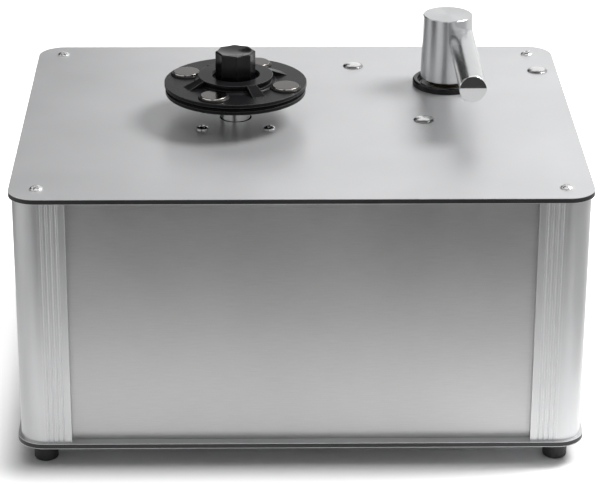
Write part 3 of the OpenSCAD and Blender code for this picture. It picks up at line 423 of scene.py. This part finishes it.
def add_loft(bm, rings):
    """A closed skin over rings of equally many points."""
    count = len(rings[0])
    for a, b in zip(rings, rings[1:]):
        for k in range(count):
            m = (k + 1) % count
            bm.faces.new((a[k], a[m], b[m], b[k]))
    bm.faces.new(rings[0][::-1])
    bm.faces.new(rings[-1])


def piece(name, bm, paint, body, *stands_for, slot=None, weighted=True, sharp=32):
    """A new piece that rides on a body and stands for CAD nodes; sharp is in degrees."""
    obj = bpy.data.objects.new(name, mesh_from(bm, name, sharp))
    bpy.context.scene.collection.objects.link(obj)
    obj.data.materials.append(paints[paint])
    if weighted:
        obj.modifiers.new("even_normals", "WEIGHTED_NORMAL").keep_sharp = True
    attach(obj, body)
    if stands_for:
        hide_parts(*stands_for)
    return obj


# CAD nodes that stay: material, smooth faces and small rounded edges, in millimetres by slot
slots = {part["node"]: part["material_slot"] for part in frame["record"]["subparts"]}
edge_widths = {"plate_skin": 0.12, "post_metal": 0.08, "panel_metal": 0.3, "black_plastic": 0.3}
other_edge_width = 0.15
flat_angle = math.radians(0.5)
edge_angle = math.radians(35)
# The guide sleeve takes the bronze painted dark as painted shade
own_paints = {"guide_sleeve": "shade_darkened_bronze"}
for node_name, node in nodes.items():
    slot = slots[node_name]
    node.data.materials.clear()
    node.data.materials.append(paints[own_paints.get(node_name, slot)])
    node.data.shade_smooth()
    node.modifiers.new("joined", "WELD").merge_threshold = 1e-6
    flat = node.modifiers.new("flat_faces", "DECIMATE")
    flat.decimate_type = "DISSOLVE"
    flat.angle_limit = flat_angle
    edge = node.modifiers.new("edges", "BEVEL")
    edge.width = edge_widths.get(slot, other_edge_width) * MM
    edge.segments = 2
    edge.limit_method = "ANGLE"
    edge.angle_limit = edge_angle
    node.modifiers.new("even_normals", "WEIGHTED_NORMAL").keep_sharp = True


# Pieces in place of CAD nodes, each on its node's own sizes
def radius_of(node):
    """Radius of a round node, from its width."""
    low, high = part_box(node)
    return (high.x - low.x) / 2


def on_axis(node):
    """Middle of a round node in plan."""
    middle = centre_of(node)
    return (middle.x, middle.y)


def in_mm(points, base=0.0):
    """Outline points in millimetres, with heights counted from base."""
    return [(r * MM, base + z * MM) for r, z in points]


def spindle_column():
    """Shaft, thick polished column and, above the rest, the pin for the record."""
    low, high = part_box("spindle")
    rest_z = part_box("record_rest")[0].z
    shoulder = deck - 5 * MM
    column_r = radius_of("spindle")
    shaft_r = 6 * MM
    pin_r = 3.55 * MM
    outline = [(0, low.z), (shaft_r, low.z), (shaft_r, shoulder), (column_r, shoulder), (column_r, rest_z),
               (pin_r, rest_z), (pin_r, high.z), (0, high.z)]
    bm = bmesh.new()
    add_turned(bm, softened(outline, 0.5 * MM, closed=False), on_axis("spindle"), 128, closed=False)
    piece("spindle_column", bm, "spindle_steel", "spindle", "spindle")


def record_rest():
    """Disc with a shallow dish inside its seal."""
    low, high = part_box("record_rest")
    r = radius_of("record_rest")
    pin_r = 3.6 * MM
    dish = 0.6 * MM
    outline = [(pin_r, low.z), (r, low.z), (r, high.z), (r - 6.6 * MM, high.z), (r - 7 * MM, high.z - dish),
               (pin_r, high.z - dish)]
    bm = bmesh.new()
    add_turned(bm, softened(outline, 0.3 * MM), on_axis("record_rest"), 192)
    piece("record_rest_disc", bm, "black_plastic", "spindle", "record_rest")


def lip_seal(name, node, body, flip):
    """Soft ring with two rounded lips towards the record."""
    low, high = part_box(node)
    base, way = (high.z, -1) if flip else (low.z, 1)
    h = (high.z - low.z) / MM
    r = radius_of(node) / MM
    outline = [(r - 5, 0), (r, 0), (r, h - 0.35), (r - 0.4, h), (r - 0.8, h), (r - 1.3, h - 0.45),
               (r - 3.7, h - 0.45), (r - 4.2, h), (r - 4.6, h), (r - 5, h - 0.35)]
    points = [(x * MM, base + way * z * MM) for x, z in outline]
    bm = bmesh.new()
    add_turned(bm, softened(points, 0.25 * MM), on_axis(node), 192)
    piece(name, bm, "gap_shaded_seal_rubber", body, node, slot="rubber")


# The arm's tube, slot and velvet strips, in millimetres as in the CAD
ARM_BORE_R = 8.3
SLOT_W = 4.6
SLOT_START = 3.5
SLOT_LENGTH = 88.0
STEM_BORE_R = 6.0
STRIPS_W = 13.0
PILE = 1.15

# The clamp's plan, in millimetres and degrees as in the CAD
HUB_R = 28.2
HUB_NECK_R = 27.4
HUB_FOOT_R = 30.4
RECESS_R = 17.0
RIB_TURN = 26
RIB_W = 7.6
RIB_END_W = 10.4
RIB_END_R = 41.0
KNOB_TURN = 25.5
MAGNET_TURN = 67
MAGNET_CIRCLE = 40.7
MAGNET_R = 10.0


def quarter_points(turn, circle):
    """Four places round the spindle, a quarter turn apart."""
    for i in range(4):
        angle = math.radians(turn + 90 * i)
        yield (spindle_axis.x + circle * MM * math.cos(angle), spindle_axis.y + circle * MM * math.sin(angle))


def clamp_plate():
    """Clamp disc with its stepped hub, the four magnet seats and the ribs."""
    low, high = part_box("clamp_disc")
    rim_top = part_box("clamp_seal")[1].z + 2.8 * MM
    hub_top = high.z
    r = radius_of("clamp_disc")
    bore = 3.63 * MM
    knob_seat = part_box("clamp_knob")[0].z - 0.05 * MM
    hub_r, neck_r, foot_r, recess_r = (size * MM for size in (HUB_R, HUB_NECK_R, HUB_FOOT_R, RECESS_R))
    foot_h = 0.8 * MM
    flange_h = 1.2 * MM
    recess_edge = 1.3 * MM
    outline = [(bore, low.z), (r, low.z), (r, rim_top), (foot_r + foot_h, rim_top),
               (foot_r, rim_top + foot_h), (neck_r, rim_top + foot_h),
               (neck_r, hub_top - flange_h - 0.4 * MM), (hub_r, hub_top - flange_h), (hub_r, hub_top),
               (recess_r + recess_edge, hub_top), (recess_r, hub_top - recess_edge), (recess_r, knob_seat),
               (bore, knob_seat)]
    bm = bmesh.new()
    add_turned(bm, softened(outline, 0.3 * MM), on_axis("clamp_disc"), 192)
    piece("clamp_plate", bm, "black_plastic", "clamp", "clamp_disc")
    seat_r = MAGNET_R + 1.6
    inner = MAGNET_R + 0.06
    seat_h = 1.2
    seat = in_mm([(inner, -0.3), (seat_r, -0.3), (seat_r, 0.5), (seat_r - 0.7, seat_h), (inner, seat_h)],
                 rim_top)
    for i, place in enumerate(quarter_points(MAGNET_TURN, MAGNET_CIRCLE)):
        bm = bmesh.new()
        add_turned(bm, softened(seat, 0.2 * MM), place, 96)
        piece(f"magnet_seat_{i + 1}", bm, "black_plastic", "clamp", "clamp_disc")
    clamp_ribs(rim_top, hub_top)


def clamp_ribs(rim_top, hub_top):
    """Four sloped ribs from the hub to the rim."""
    inner = (HUB_NECK_R - 0.9) * MM
    outer = RIB_END_R * MM
    shoulder = (HUB_R + 0.2) * MM
    side = [(inner, rim_top - 0.5 * MM), (outer, rim_top - 0.5 * MM), (outer, rim_top + 0.1 * MM),
            (shoulder, hub_top - 0.3 * MM), (inner, hub_top - 0.3 * MM)]

    edge = 0.3 * MM
    middle = Vector((spindle_axis.x, spindle_axis.y, 0))

    def half_width(r):
        return (RIB_W + (RIB_END_W - RIB_W) * (r - inner) / (outer - inner)) / 2 * MM

    for i in range(4):
        turn = Matrix.Rotation(math.radians(RIB_TURN + 90 * i), 3, "Z")
        bm = bmesh.new()
        add_loft(bm, [[bm.verts.new(middle + turn @ Vector((r, way * half_width(r), z))) for r, z in side]
                      for way in (-1, 1)])
        bmesh.ops.bevel(bm, geom=bm.edges[:], offset=edge, segments=3, affect="EDGES", profile=0.5)
        piece(f"clamp_rib_{i + 1}", bm, "black_plastic", "clamp", "clamp_disc")


def magnets():
    """Four plated discs with rounded edges."""
    low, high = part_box("clamp_magnets")
    r = MAGNET_R * MM
    outline = [(0, low.z), (r, low.z), (r, high.z), (0, high.z)]
    for i, place in enumerate(quarter_points(MAGNET_TURN, MAGNET_CIRCLE)):
        bm = bmesh.new()
        add_turned(bm, softened(outline, 0.7 * MM, 5, closed=False), place, 96, closed=False)
        piece(f"clamp_magnet_{i + 1}", bm, "magnet_nickel", "clamp", "clamp_magnets")


def knob():
    """Eight-sided knob with slightly hollow faces, rounded ridges and a dished top."""
    low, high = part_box("clamp_knob")
    r = 15.1 * MM
    faces = 8
    scallop_r = 40 * MM
    scallop_middle = r - 1.5 * MM + scallop_r
    ridge = 0.12 * MM
    edge = 1.0 * MM
    edge_steps = 5
    dish_r = 48 * MM
    dish_depth = 1.6 * MM
    dish_shares = (0.9, 0.8, 0.7, 0.55, 0.4, 0.25, 0.1)
    spokes = 240

    def outline(angle):
        """Distance from the axis to the nearest scallop, with a soft ridge between two."""
        reach = r
        for i in range(faces):
            turn = angle - math.radians(KNOB_TURN + 360 / faces * i)
            inside = scallop_r ** 2 - (scallop_middle * math.sin(turn)) ** 2
            if math.cos(turn) > 0 and inside > 0:
                near = scallop_middle * math.cos(turn) - math.sqrt(inside)
                gap = (reach - near) / ridge
                if gap > -4:
                    reach = near if gap > 4 else reach - ridge * math.log(1 + math.exp(gap))
        return reach

    def ring(reaches, heights):
        return [bm.verts.new((spindle_axis.x + reach * math.cos(a), spindle_axis.y + reach * math.sin(a), z))
                for a, reach, z in zip(angles, reaches, heights)]

    def dished(reach):
        return min(high.z, high.z - dish_depth + dish_r - math.sqrt(dish_r ** 2 - reach ** 2))

    levels = [(0.0, low.z), (0.0, low.z + 0.4 * (high.z - low.z)), (0.0, high.z - edge)]
    for k in range(1, edge_steps + 1):
        angle = math.pi / 2 * k / edge_steps
        levels.append((edge * (1 - math.cos(angle)), high.z - edge + edge * math.sin(angle)))
    angles = [2 * math.pi * k / spokes for k in range(spokes)]
    reaches = [outline(a) for a in angles]
    bm = bmesh.new()
    rings = [ring([reach - inset for reach in reaches], [z] * spokes) for inset, z in levels]
    for share in dish_shares:
        inner = [(reach - edge) * share for reach in reaches]
        rings.append(ring(inner, [dished(reach) for reach in inner]))
    add_loft(bm, rings)
    piece("clamp_grip", bm, "gloss_black", "clamp", "clamp_knob")


def tower_collar():
    """Black ring round the tower's foot, with a groove inside its lip."""
    low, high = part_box("tower_ring")
    r = radius_of("tower_ring") / MM
    h = (high.z - low.z) / MM
    bore_r = 19.2
    groove_r = r - 3.9
    groove_z = 1.5
    outline = in_mm([(bore_r, 0), (r, 0), (r, h - 0.9), (r - 0.9, h), (r - 3.1, h), (groove_r, h - 0.6),
                     (groove_r, groove_z), (bore_r, groove_z)], low.z)
    bm = bmesh.new()
    add_turned(bm, softened(outline, 0.5 * MM, 5), on_axis("tower_ring"), 192)
    piece("tower_collar", bm, "gloss_black", "case", "tower_ring")


def tower():
    """Tapered tower with a turned top, hollow below for the lift spring."""
    low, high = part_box("arm_tower")
    foot_r = radius_of("arm_tower")
    top_r = foot_r - 1 * MM
    top_edge = 0.45 * MM
    hollow_r = 14 * MM
    hollow_top = deck + 20 * MM
    outline = [(0, hollow_top), (hollow_r, hollow_top), (hollow_r, low.z), (foot_r - 0.3 * MM, low.z),
               (foot_r, low.z + 0.4 * MM), (top_r, high.z - top_edge), (top_r - top_edge, high.z),
               (0, high.z)]
    bm = bmesh.new()
    add_turned(bm, softened(outline, 0.12 * MM, 3, closed=False), on_axis("tower_ring"), 192, closed=False)
    piece("tower_body", bm, "tower_metal", "arm", "arm_tower")


def coil_spring():
    """Lift spring with closed end coils, built at one length; the real spring shortens as the arm is pressed
    down.
    """
    low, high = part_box("lift_spring")
    wire_r = 0.8 * MM
    coil_r = radius_of("lift_spring") - wire_r
    middle = on_axis("lift_spring")
    turns, spokes, sides = 5.5, 48, 12
    count = int(turns * spokes)
    closed_turns = 0.9
    closed_climb = 0.53
    climb = [closed_climb if min(k, count - k) / spokes < closed_turns else 1.0 for k in range(count + 1)]
    height = high.z - low.z - 2 * wire_r
    step = height / sum(climb[:-1])
    z = low.z + wire_r
    bm = bmesh.new()
    rings = []
    for k in range(count + 1):
        angle = 2 * math.pi * k / spokes
        out = Vector((math.cos(angle), math.sin(angle), 0))
        ring = []
        for m in range(sides):
            around = 2 * math.pi * m / sides
            reach = coil_r + wire_r * math.cos(around)
            ring.append(bm.verts.new((middle[0] + reach * out.x, middle[1] + reach * out.y,
                                      z + wire_r * math.sin(around))))
        rings.append(ring)
        z += step * climb[k]
    add_loft(bm, rings)
    spring = piece("lift_coil", bm, "bearing_steel", "arm_carrier", "lift_spring")
    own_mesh(spring)


def suction_tube():
    """The arm's tube, open to the slot between the velvet strips and, inside the tower, to the stem.

    Its wall is a grid of rows along the tube and cells round it, counted from one edge of the slot.
    """
    low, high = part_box("arm_tube")
    middle = centre_of("arm_tube")
    slot_y = low.y + SLOT_START * MM
    rows = (low.y, slot_y, slot_y + SLOT_LENGTH * MM, tower_axis.y - STEM_BORE_R * MM, high.y)
    last_row = len(rows) - 2
    slot_row, stem_row = 1, last_row
    slot_cells, other_cells = 8, 88
    cells = slot_cells + other_cells
    stem_cells = range(80, 94)

    def is_open(row, cell):
        return (row == slot_row and cell < slot_cells) or (row == stem_row and cell in stem_cells)

    def ring(radius, y):
        half = math.asin(SLOT_W / 2 * MM / radius)
        below = [half * (2 * k / slot_cells - 1) for k in range(slot_cells)]
        above = [half + 2 * (math.pi - half) * k / other_cells for k in range(other_cells)]
        return [bm.verts.new((middle.x + radius * math.sin(a), y, middle.z - radius * math.cos(a)))
                for a in below + above]

    bm = bmesh.new()
    outer = [ring(radius_of("arm_tube"), y) for y in rows]
    inner = [ring(ARM_BORE_R * MM, y) for y in rows]
    for k in range(cells):
        m = (k + 1) % cells
        for end, row in ((0, 0), (-1, last_row)):
            if not is_open(row, k):
                bm.faces.new((outer[end][k], outer[end][m], inner[end][m], inner[end][k]))
        for row in range(len(rows) - 1):
            if is_open(row, k) != is_open(row, (k - 1) % cells):
                bm.faces.new((outer[row][k], outer[row + 1][k], inner[row + 1][k], inner[row][k]))
            if row and is_open(row, k) != is_open(row - 1, k):
                bm.faces.new((outer[row][k], outer[row][m], inner[row][m], inner[row][k]))
            if not is_open(row, k):
                for side in (outer, inner):
                    bm.faces.new((side[row][k], side[row][m], side[row + 1][m], side[row + 1][k]))
    piece("suction_pipe", bm, "arm_metal", "arm", "arm_tube")


def end_plug():
    """Flat polished plug in the arm's free end."""
    low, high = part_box("arm_end_plug")
    middle = centre_of("arm_end_plug")
    r = radius_of("arm_end_plug")
    neck_r = (ARM_BORE_R - 0.02) * MM
    cap = 2.5 * MM
    length = high.y - low.y
    outline = [(0, 0), (r, 0), (r, cap), (neck_r, cap), (neck_r, length), (0, length)]
    bm = bmesh.new()
    add_turned(bm, softened(outline, 0.4 * MM, 4, closed=False), (0, 0), 128, closed=False)
    turn = Matrix.Translation((middle.x, low.y, middle.z)) @ Matrix.Rotation(math.radians(-90), 4, "X")
    bm.transform(turn)
    piece("arm_end_cap", bm, "plug_mirror", "arm", "arm_end_plug", slot="arm_metal")


def velvet():
    """Crowned strips of short pile along both sides of the suction slot."""
    low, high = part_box("velvet_strips")
    tube = centre_of("arm_end_plug")
    tube_r = radius_of("arm_end_plug")
    base_r = tube_r + 0.02 * MM
    least = 0.02 * MM
    uneven = 0.12 * MM
    crown_h = PILE * MM - 2 * least - uneven
    inner = math.asin(SLOT_W / 2 * MM / tube_r)
    outer = math.asin(STRIPS_W / 2 * MM / tube_r)
    along, across = 360, 14
    end_rows = 5

    def point(bm, angle, reach, y):
        return bm.verts.new((tube.x + reach * math.sin(angle), y, tube.z - reach * math.cos(angle)))

    for side, name in ((-1, "left"), (1, "right")):
        bm = bmesh.new()
        rows = []
        for i in range(along + 1):
            y = low.y + (high.y - low.y) * i / along
            end = min(1.0, min(i, along - i) / end_rows)
            row = []
            for k in range(across + 1):
                share = k / across
                angle = side * (inner + (outer - inner) * share)
                crown = math.sqrt(max(0.0, 1 - (2 * share - 1) ** 6)) * math.sqrt(end)
                # As uneven as noise, and the same in each run
                ruffle = 0.5 + 0.5 * math.sin(i * 12.9898 + k * 78.233 + 41 * math.sin(i * 0.37 * k))
                row.append(point(bm, angle, base_r + least + crown * (crown_h + uneven * ruffle), y))
            for angle in (outer, inner):
                row.append(point(bm, side * angle, base_r, y))
            rows.append(row)
        add_loft(bm, rows)
        piece(f"velvet_{name}", bm, "velvet", "arm", "velvet_strips", weighted=False, sharp=80)


def add_screw_head(bm, place, base, r, edge, rise, way, turn):
    """Pan head with a cross recess, as a dome of fine rings; way is 1 up and -1 down."""
    rings, spokes = 30, 96
    arm_l = 0.62 * r
    arm_w = 0.14 * r
    recess = 0.34 * r
    side_slope = 0.05 * r
    end_slope = 0.12 * r
    ball = (r ** 2 + rise ** 2) / (2 * rise)

    def top(x, y):
        """Height over the head's foot."""
        reach = math.hypot(x, y)
        z = edge + rise - ball + math.sqrt(max(ball ** 2 - reach ** 2, 0))
        a = math.radians(turn)
        u, v = x * math.cos(a) + y * math.sin(a), -x * math.sin(a) + y * math.cos(a)
        depth = 0.0
        for p, q in ((abs(u), abs(v)), (abs(v), abs(u))):
            wall = min(1.0, max(0.0, (arm_w - q) / side_slope + 0.5))
            end = min(1.0, max(0.0, (arm_l - p) / end_slope + 0.5))
            depth = max(depth, wall * end * (1 - 0.45 * p / arm_l))
        return z - recess * depth

    def point(x, y):
        return bm.verts.new((place[0] + x, place[1] + y, base + way * top(x, y)))

    angles = [2 * math.pi * k / spokes for k in range(spokes)]
    loops = [[point(0, 0)]]
    for i in range(1, rings + 1):
        reach = r * i / rings
        loops.append([point(reach * math.cos(a), reach * math.sin(a)) for a in angles])
    loops.append([bm.verts.new((v.co.x, v.co.y, base)) for v in loops[-1]])
    for a, b in zip(loops, loops[1:]):
        for k in range(spokes):
            m = (k + 1) % spokes
            if len(a) == 1:
                bm.faces.new((a[0], b[k], b[m]))
            else:
                bm.faces.new((a[k], b[k], b[m], a[m]))
    bm.faces.new(loops[-1])


def four_places(node, r):
    """Middles of four round solids at the corners of a node's box."""
    low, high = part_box(node)
    return [(x, y) for x in (low.x + r * MM, high.x - r * MM) for y in (low.y + r * MM, high.y - r * MM)]


def cross_screws(name, node, base, head_r, rise, shank_r, length, way=1):
    """Four cross-head screws, each turned a little further than the last."""
    edge = 0.9 * MM
    for i, place in enumerate(four_places(node, head_r)):
        turn = 25 + 31 * i
        bm = bmesh.new()
        add_screw_head(bm, place, base, head_r * MM, edge, rise * MM, way, turn)
        shank = in_mm([(0, 0), (shank_r, 0), (shank_r, -length), (0, -length - 0.8)])
        add_turned(bm, [(a, base + way * b) for a, b in shank], place, 32, closed=False)
        piece(f"{name}_{i + 1}", bm, "screw_steel", "case", node)


def dome_screws():
    """Smooth domed heads round the tower, in millimetres as in the CAD."""
    places = ((192.0, 104.5), (45.5, 116.5), (94.8, -7.0))
    r = 7.9
    edge = 0.7
    rise = 1.9
    shank_r = 3.0
    tip = -13.8
    steps = 16
    ball = (r ** 2 + rise ** 2) / (2 * rise)
    reaches = [r * k / steps for k in range(steps - 1, -1, -1)]
    cap = [(reach, edge + rise - ball + math.sqrt(ball ** 2 - reach ** 2)) for reach in reaches]
    shank = [(0, tip), (shank_r - 0.4, tip), (shank_r, tip + 0.6), (shank_r, 0)]
    head = [(r - 0.1, 0), (r, 0.1), (r, edge - 0.08)]
    for i, (x, y) in enumerate(places):
        bm = bmesh.new()
        add_turned(bm, in_mm(shank + head + cap, deck), (x * MM, y * MM), 96, closed=False)
        piece(f"dome_screw_{i + 1}", bm, "dome_chrome", "case", "dome_screws")


def rubber_feet():
    """Moulded feet with a rounded rim, a waist line and a sunk screw."""
    r = 8.9
    well_r = 5.0
    hole_r = 2.6
    h = foot_top / MM - 0.02
    waist = h - 3
    waist_r = r - 0.35
    screw_seat = h - 6.48
    outline = [(well_r, 0.2), (well_r + 0.8, 0), (r - 0.8, 0), (r, 1.2), (r, waist), (waist_r, waist + 0.4),
               (waist_r, waist + 0.9), (r, waist + 1.3), (r, h), (hole_r, h), (hole_r, screw_seat),
               (well_r, screw_seat)]
    for i, place in enumerate(four_places("feet", r)):
        bm = bmesh.new()
        add_turned(bm, softened(in_mm(outline), 0.5 * MM, 4), place, 96)
        piece(f"rubber_foot_{i + 1}", bm, "rubber", "case", "feet")


spindle_column()
record_rest()
lip_seal("rest_lips", "rest_seal", "spindle", flip=False)
lip_seal("clamp_lips", "clamp_seal", "clamp", flip=True)
clamp_plate()
magnets()
knob()
tower_collar()
tower()
coil_spring()
suction_tube()
end_plug()
velvet()
cross_screws("corner_screw", "corner_screws", deck, head_r=4.6, rise=1.7, shank_r=2.5, length=26)
cross_screws("motor_screw", "motor_screws", deck, head_r=4.5, rise=1.6, shank_r=2.0, length=26)
cross_screws("foot_screw", "foot_screws", foot_top - 6.5 * MM, head_r=4.4, rise=1.6, shank_r=2.5, length=29,
             way=-1)
dome_screws()
rubber_feet()


# Camera at the photograph's viewing angle, solved from the edges of the case
def aimed_camera(place, yaw, pitch, roll, lens):
    """A camera at a place, aimed to the right of +Y, down and rolled by degrees."""
    yaw, pitch, roll = (math.radians(a) for a in (yaw, pitch, roll))
    ahead = Vector((math.sin(yaw) * math.cos(pitch), math.cos(yaw) * math.cos(pitch), -math.sin(pitch)))
    level = Vector((math.cos(yaw), -math.sin(yaw), 0))
    upright = level.cross(ahead)
    right = level * math.cos(roll) + upright * math.sin(roll)
    up = upright * math.cos(roll) - level * math.sin(roll)
    data = bpy.data.cameras.new("camera")
    data.lens = lens
    data.sensor_width = 36
    data.clip_start = 0.05
    data.clip_end = 60.0
    camera = bpy.data.objects.new("camera", data)
    turn = Matrix((right, up, -ahead)).transposed().to_4x4()
    camera.matrix_world = Matrix.Translation(place) @ turn
    bpy.context.scene.collection.objects.link(camera)
    bpy.context.scene.camera = camera


aimed_camera(place=(-0.03276, -1.81876, 0.88689), yaw=1.077, pitch=23.246, roll=0.244, lens=153.3)


# Stage: a pale floor, a white surround and soft lamps
def seen_directly(tree):
    """1 for camera, glossy and transmission rays, 0 for the light on the object."""
    path = tree.nodes.new("ShaderNodeLightPath")
    total = path.outputs["Is Camera Ray"]
    for name in ("Is Glossy Ray", "Is Transmission Ray"):
        add = tree.nodes.new("ShaderNodeMath")
        add.operation = "ADD"
        add.use_clamp = True
        tree.links.new(total, add.inputs[0])
        tree.links.new(path.outputs[name], add.inputs[1])
        total = add.outputs[0]
    return total


def ranged(tree, value, low, high):
    """A value of 0 to 1 as low to high."""
    made = tree.nodes.new("ShaderNodeMapRange")
    tree.links.new(value, made.inputs["Value"])
    made.inputs["To Min"].default_value = low
    made.inputs["To Max"].default_value = high
    return made.outputs["Result"]


def eased(tree, value, start, end):
    """0 before start and 1 after end, with a smooth change."""
    made = tree.nodes.new("ShaderNodeMapRange")
    made.interpolation_type = "SMOOTHSTEP"
    made.inputs["From Min"].default_value = start
    made.inputs["From Max"].default_value = end
    tree.links.new(value, made.inputs["Value"])
    return made.outputs["Result"]


def joined(tree, operation, a, b=None):
    """A maths node on one or two values."""
    made = tree.nodes.new("ShaderNodeMath")
    made.operation = operation
    tree.links.new(a, made.inputs[0])
    if b:
        tree.links.new(b, made.inputs[1])
    return made.outputs[0]


def mixed(tree, factor, a, b):
    """A number from a to b, or between two sockets."""
    made = tree.nodes.new("ShaderNodeMix")
    tree.links.new(factor, made.inputs["Factor"])
    for name, value in (("A", a), ("B", b)):
        if isinstance(value, bpy.types.NodeSocket):
            tree.links.new(value, made.inputs[name])
        else:
            made.inputs[name].default_value = value
    return made.outputs["Result"]


def vector_step(tree, operation, vector, other=None):
    """A vector node fed with a vector and, where given, a fixed other one."""
    made = tree.nodes.new("ShaderNodeVectorMath")
    made.operation = operation
    tree.links.new(vector, made.inputs[0])
    if other:
        made.inputs[1].default_value = other
    return made.outputs


def bare_material(name):
    """A material with an empty node tree."""
    material = bpy.data.materials.new(name)
    material.use_nodes = True
    material.node_tree.nodes.clear()
    return material


def to_output(tree, shader):
    """Feeds a shader to the material's output."""
    output = tree.nodes.new("ShaderNodeOutputMaterial")
    tree.links.new(shader.outputs[0], output.inputs[0])


def flat_square(name, half, material):
    """A level square of the stage, not yet in the scene."""
    bm = bmesh.new()
    bmesh.ops.create_grid(bm, x_segments=1, y_segments=1, size=half)
    mesh = bpy.data.meshes.new(name)
    bm.to_mesh(mesh)
    bm.free()
    mesh.materials.append(material)
    return bpy.data.objects.new(name, mesh)


def make_world(light, seen):
    """A white surround with one strength for what it lights and one for what is seen."""
    world = bpy.data.worlds.new("studio")
    world.use_nodes = True
    background = world.node_tree.nodes["Background"]
    background.inputs["Color"].default_value = (1, 1, 1, 1)
    strength = ranged(world.node_tree, seen_directly(world.node_tree), light, seen)
    world.node_tree.links.new(strength, background.inputs["Strength"])
    bpy.context.scene.world = world


def make_floor(reach, albedo, glow, half_sides, shaded, full_glow):
    """A matt floor that turns white a little way off the case's footprint.

    Off half_sides the glow sets in over a distance of shaded, and it rises to 1 between the two
    distances of full_glow.
    """
    material = bare_material("pale_floor")
    tree = material.node_tree
    diffuse = tree.nodes.new("ShaderNodeBsdfDiffuse")
    diffuse.inputs["Color"].default_value = (albedo, albedo, albedo, 1)
    place = tree.nodes.new("ShaderNodeTexCoord")
    size = vector_step(tree, "ABSOLUTE", place.outputs["Object"])[0]
    outside = vector_step(tree, "SUBTRACT", size, (half_sides[0], half_sides[1], 0))[0]
    positive = vector_step(tree, "MAXIMUM", outside)[0]
    distance = vector_step(tree, "LENGTH", positive)["Value"]
    away = eased(tree, distance, 0.0, shaded)
    shown = joined(tree, "MULTIPLY", seen_directly(tree), away)
    level = ranged(tree, eased(tree, distance, *full_glow), glow, 1.0)
    emission = tree.nodes.new("ShaderNodeEmission")
    tree.links.new(joined(tree, "MULTIPLY", shown, level), emission.inputs["Strength"])
    both = tree.nodes.new("ShaderNodeAddShader")
    tree.links.new(diffuse.outputs[0], both.inputs[0])
    tree.links.new(emission.outputs[0], both.inputs[1])
    to_output(tree, both)
    floor = flat_square("floor", reach, material)
    bpy.context.scene.collection.objects.link(floor)


def add_lamp(name, place, target, width, height, watts):
    """A rectangular lamp at a place, turned to its target."""
    data = bpy.data.lights.new(name, "AREA")
    data.shape = "RECTANGLE"
    data.size = width
    data.size_y = height
    data.energy = watts
    lamp = bpy.data.objects.new(name, data)
    lamp.location = place
    lamp.rotation_mode = "QUATERNION"
    lamp.rotation_quaternion = (Vector(target) - Vector(place)).to_track_quat("-Z", "Y")
    bpy.context.scene.collection.objects.link(lamp)


def seen_in_reflections_only(card):
    """Puts a card in the scene that only reflections show."""
    card.visible_camera = False
    card.visible_diffuse = False
    card.visible_shadow = False
    card.visible_transmission = False
    bpy.context.scene.collection.objects.link(card)


def add_far_floor(front_level, left_levels, right_levels, near, far, left_end, right_end):
    """A floor that darkens away from the case, as a lit table does in a dark room, for reflections only.

    The front part runs from near to far and fades out sideways over left_end and right_end. The sides
    start beside the case and have a level at the front and one at the back.
    """
    side_start, side_full = 0.23, 0.5
    front_y, back_y = -0.15, 0.35
    middle = 0.1
    material = bare_material("far_floor")
    tree = material.node_tree
    place = tree.nodes.new("ShaderNodeTexCoord")
    split = tree.nodes.new("ShaderNodeSeparateXYZ")
    tree.links.new(place.outputs["Object"], split.inputs[0])
    x, y = split.outputs["X"], split.outputs["Y"]
    between = joined(tree, "MULTIPLY", eased(tree, x, left_end[1], left_end[0]),
                     eased(tree, x, right_end[1], right_end[0]))
    front = joined(tree, "MULTIPLY", eased(tree, y, -near, -far), between)
    side = eased(tree, joined(tree, "ABSOLUTE", x), side_start, side_full)
    cover = joined(tree, "MAXIMUM", front, side)
    back = eased(tree, y, front_y, back_y)
    side_level = mixed(tree, eased(tree, x, -middle, middle),
                       ranged(tree, back, *left_levels), ranged(tree, back, *right_levels))
    emission = tree.nodes.new("ShaderNodeEmission")
    tree.links.new(mixed(tree, front, side_level, front_level), emission.inputs["Strength"])
    clear = tree.nodes.new("ShaderNodeBsdfTransparent")
    both = tree.nodes.new("ShaderNodeMixShader")
    tree.links.new(cover, both.inputs[0])
    tree.links.new(clear.outputs[0], both.inputs[1])
    tree.links.new(emission.outputs[0], both.inputs[2])
    to_output(tree, both)
    card = flat_square("far_floor", 3, material)
    card.location = (0, 0, 4 * MM)
    seen_in_reflections_only(card)


def add_flag(name, place, target, width, height, level):
    """A dark card that only reflections see, as a studio uses round polished metal."""
    material = bare_material(name)
    emission = material.node_tree.nodes.new("ShaderNodeEmission")
    emission.inputs["Strength"].default_value = level
    to_output(material.node_tree, emission)
    card = flat_square(name, 0.5, material)
    turn = (Vector(target) - Vector(place)).to_track_quat("Z", "Y")
    card.matrix_world = Matrix.LocRotScale(Vector(place), turn, Vector((width, height, 1)))
    seen_in_reflections_only(card)


make_world(light=0.21, seen=1.0)
make_floor(reach=8.0, albedo=0.9, glow=0.74, half_sides=(0.196, 0.153), shaded=0.042, full_glow=(0.6, 1.8))
add_lamp("key", place=(1.4, 0.4, 2.0), target=(0, 0, 0.1), width=0.9, height=0.9, watts=58)
add_lamp("top", place=(-0.2, -0.4, 2.4), target=(0, 0, 0.1), width=1.6, height=1.6, watts=8)
add_far_floor(front_level=0.05, left_levels=(0.8, 0.2), right_levels=(0.5, 0.95), near=0.16, far=0.6,
              left_end=(-0.35, -0.75), right_end=(0.25, 0.9))
add_flag("ceiling", place=(0, 0.2, 2.7), target=(0, 0.2, 0.3), width=3.4, height=3.0, level=0.12)
add_flag("left_flag", place=(-1.6, 2.0, 0.95), target=(0, 0, 0.3), width=3.2, height=2.3, level=0.04)
add_flag("front_flag", place=(-0.45, -2.3, 1.0), target=(0, 0, 0.3), width=1.0, height=2.2, level=0.08)

scene = bpy.context.scene
scene.view_settings.view_transform = "Standard"
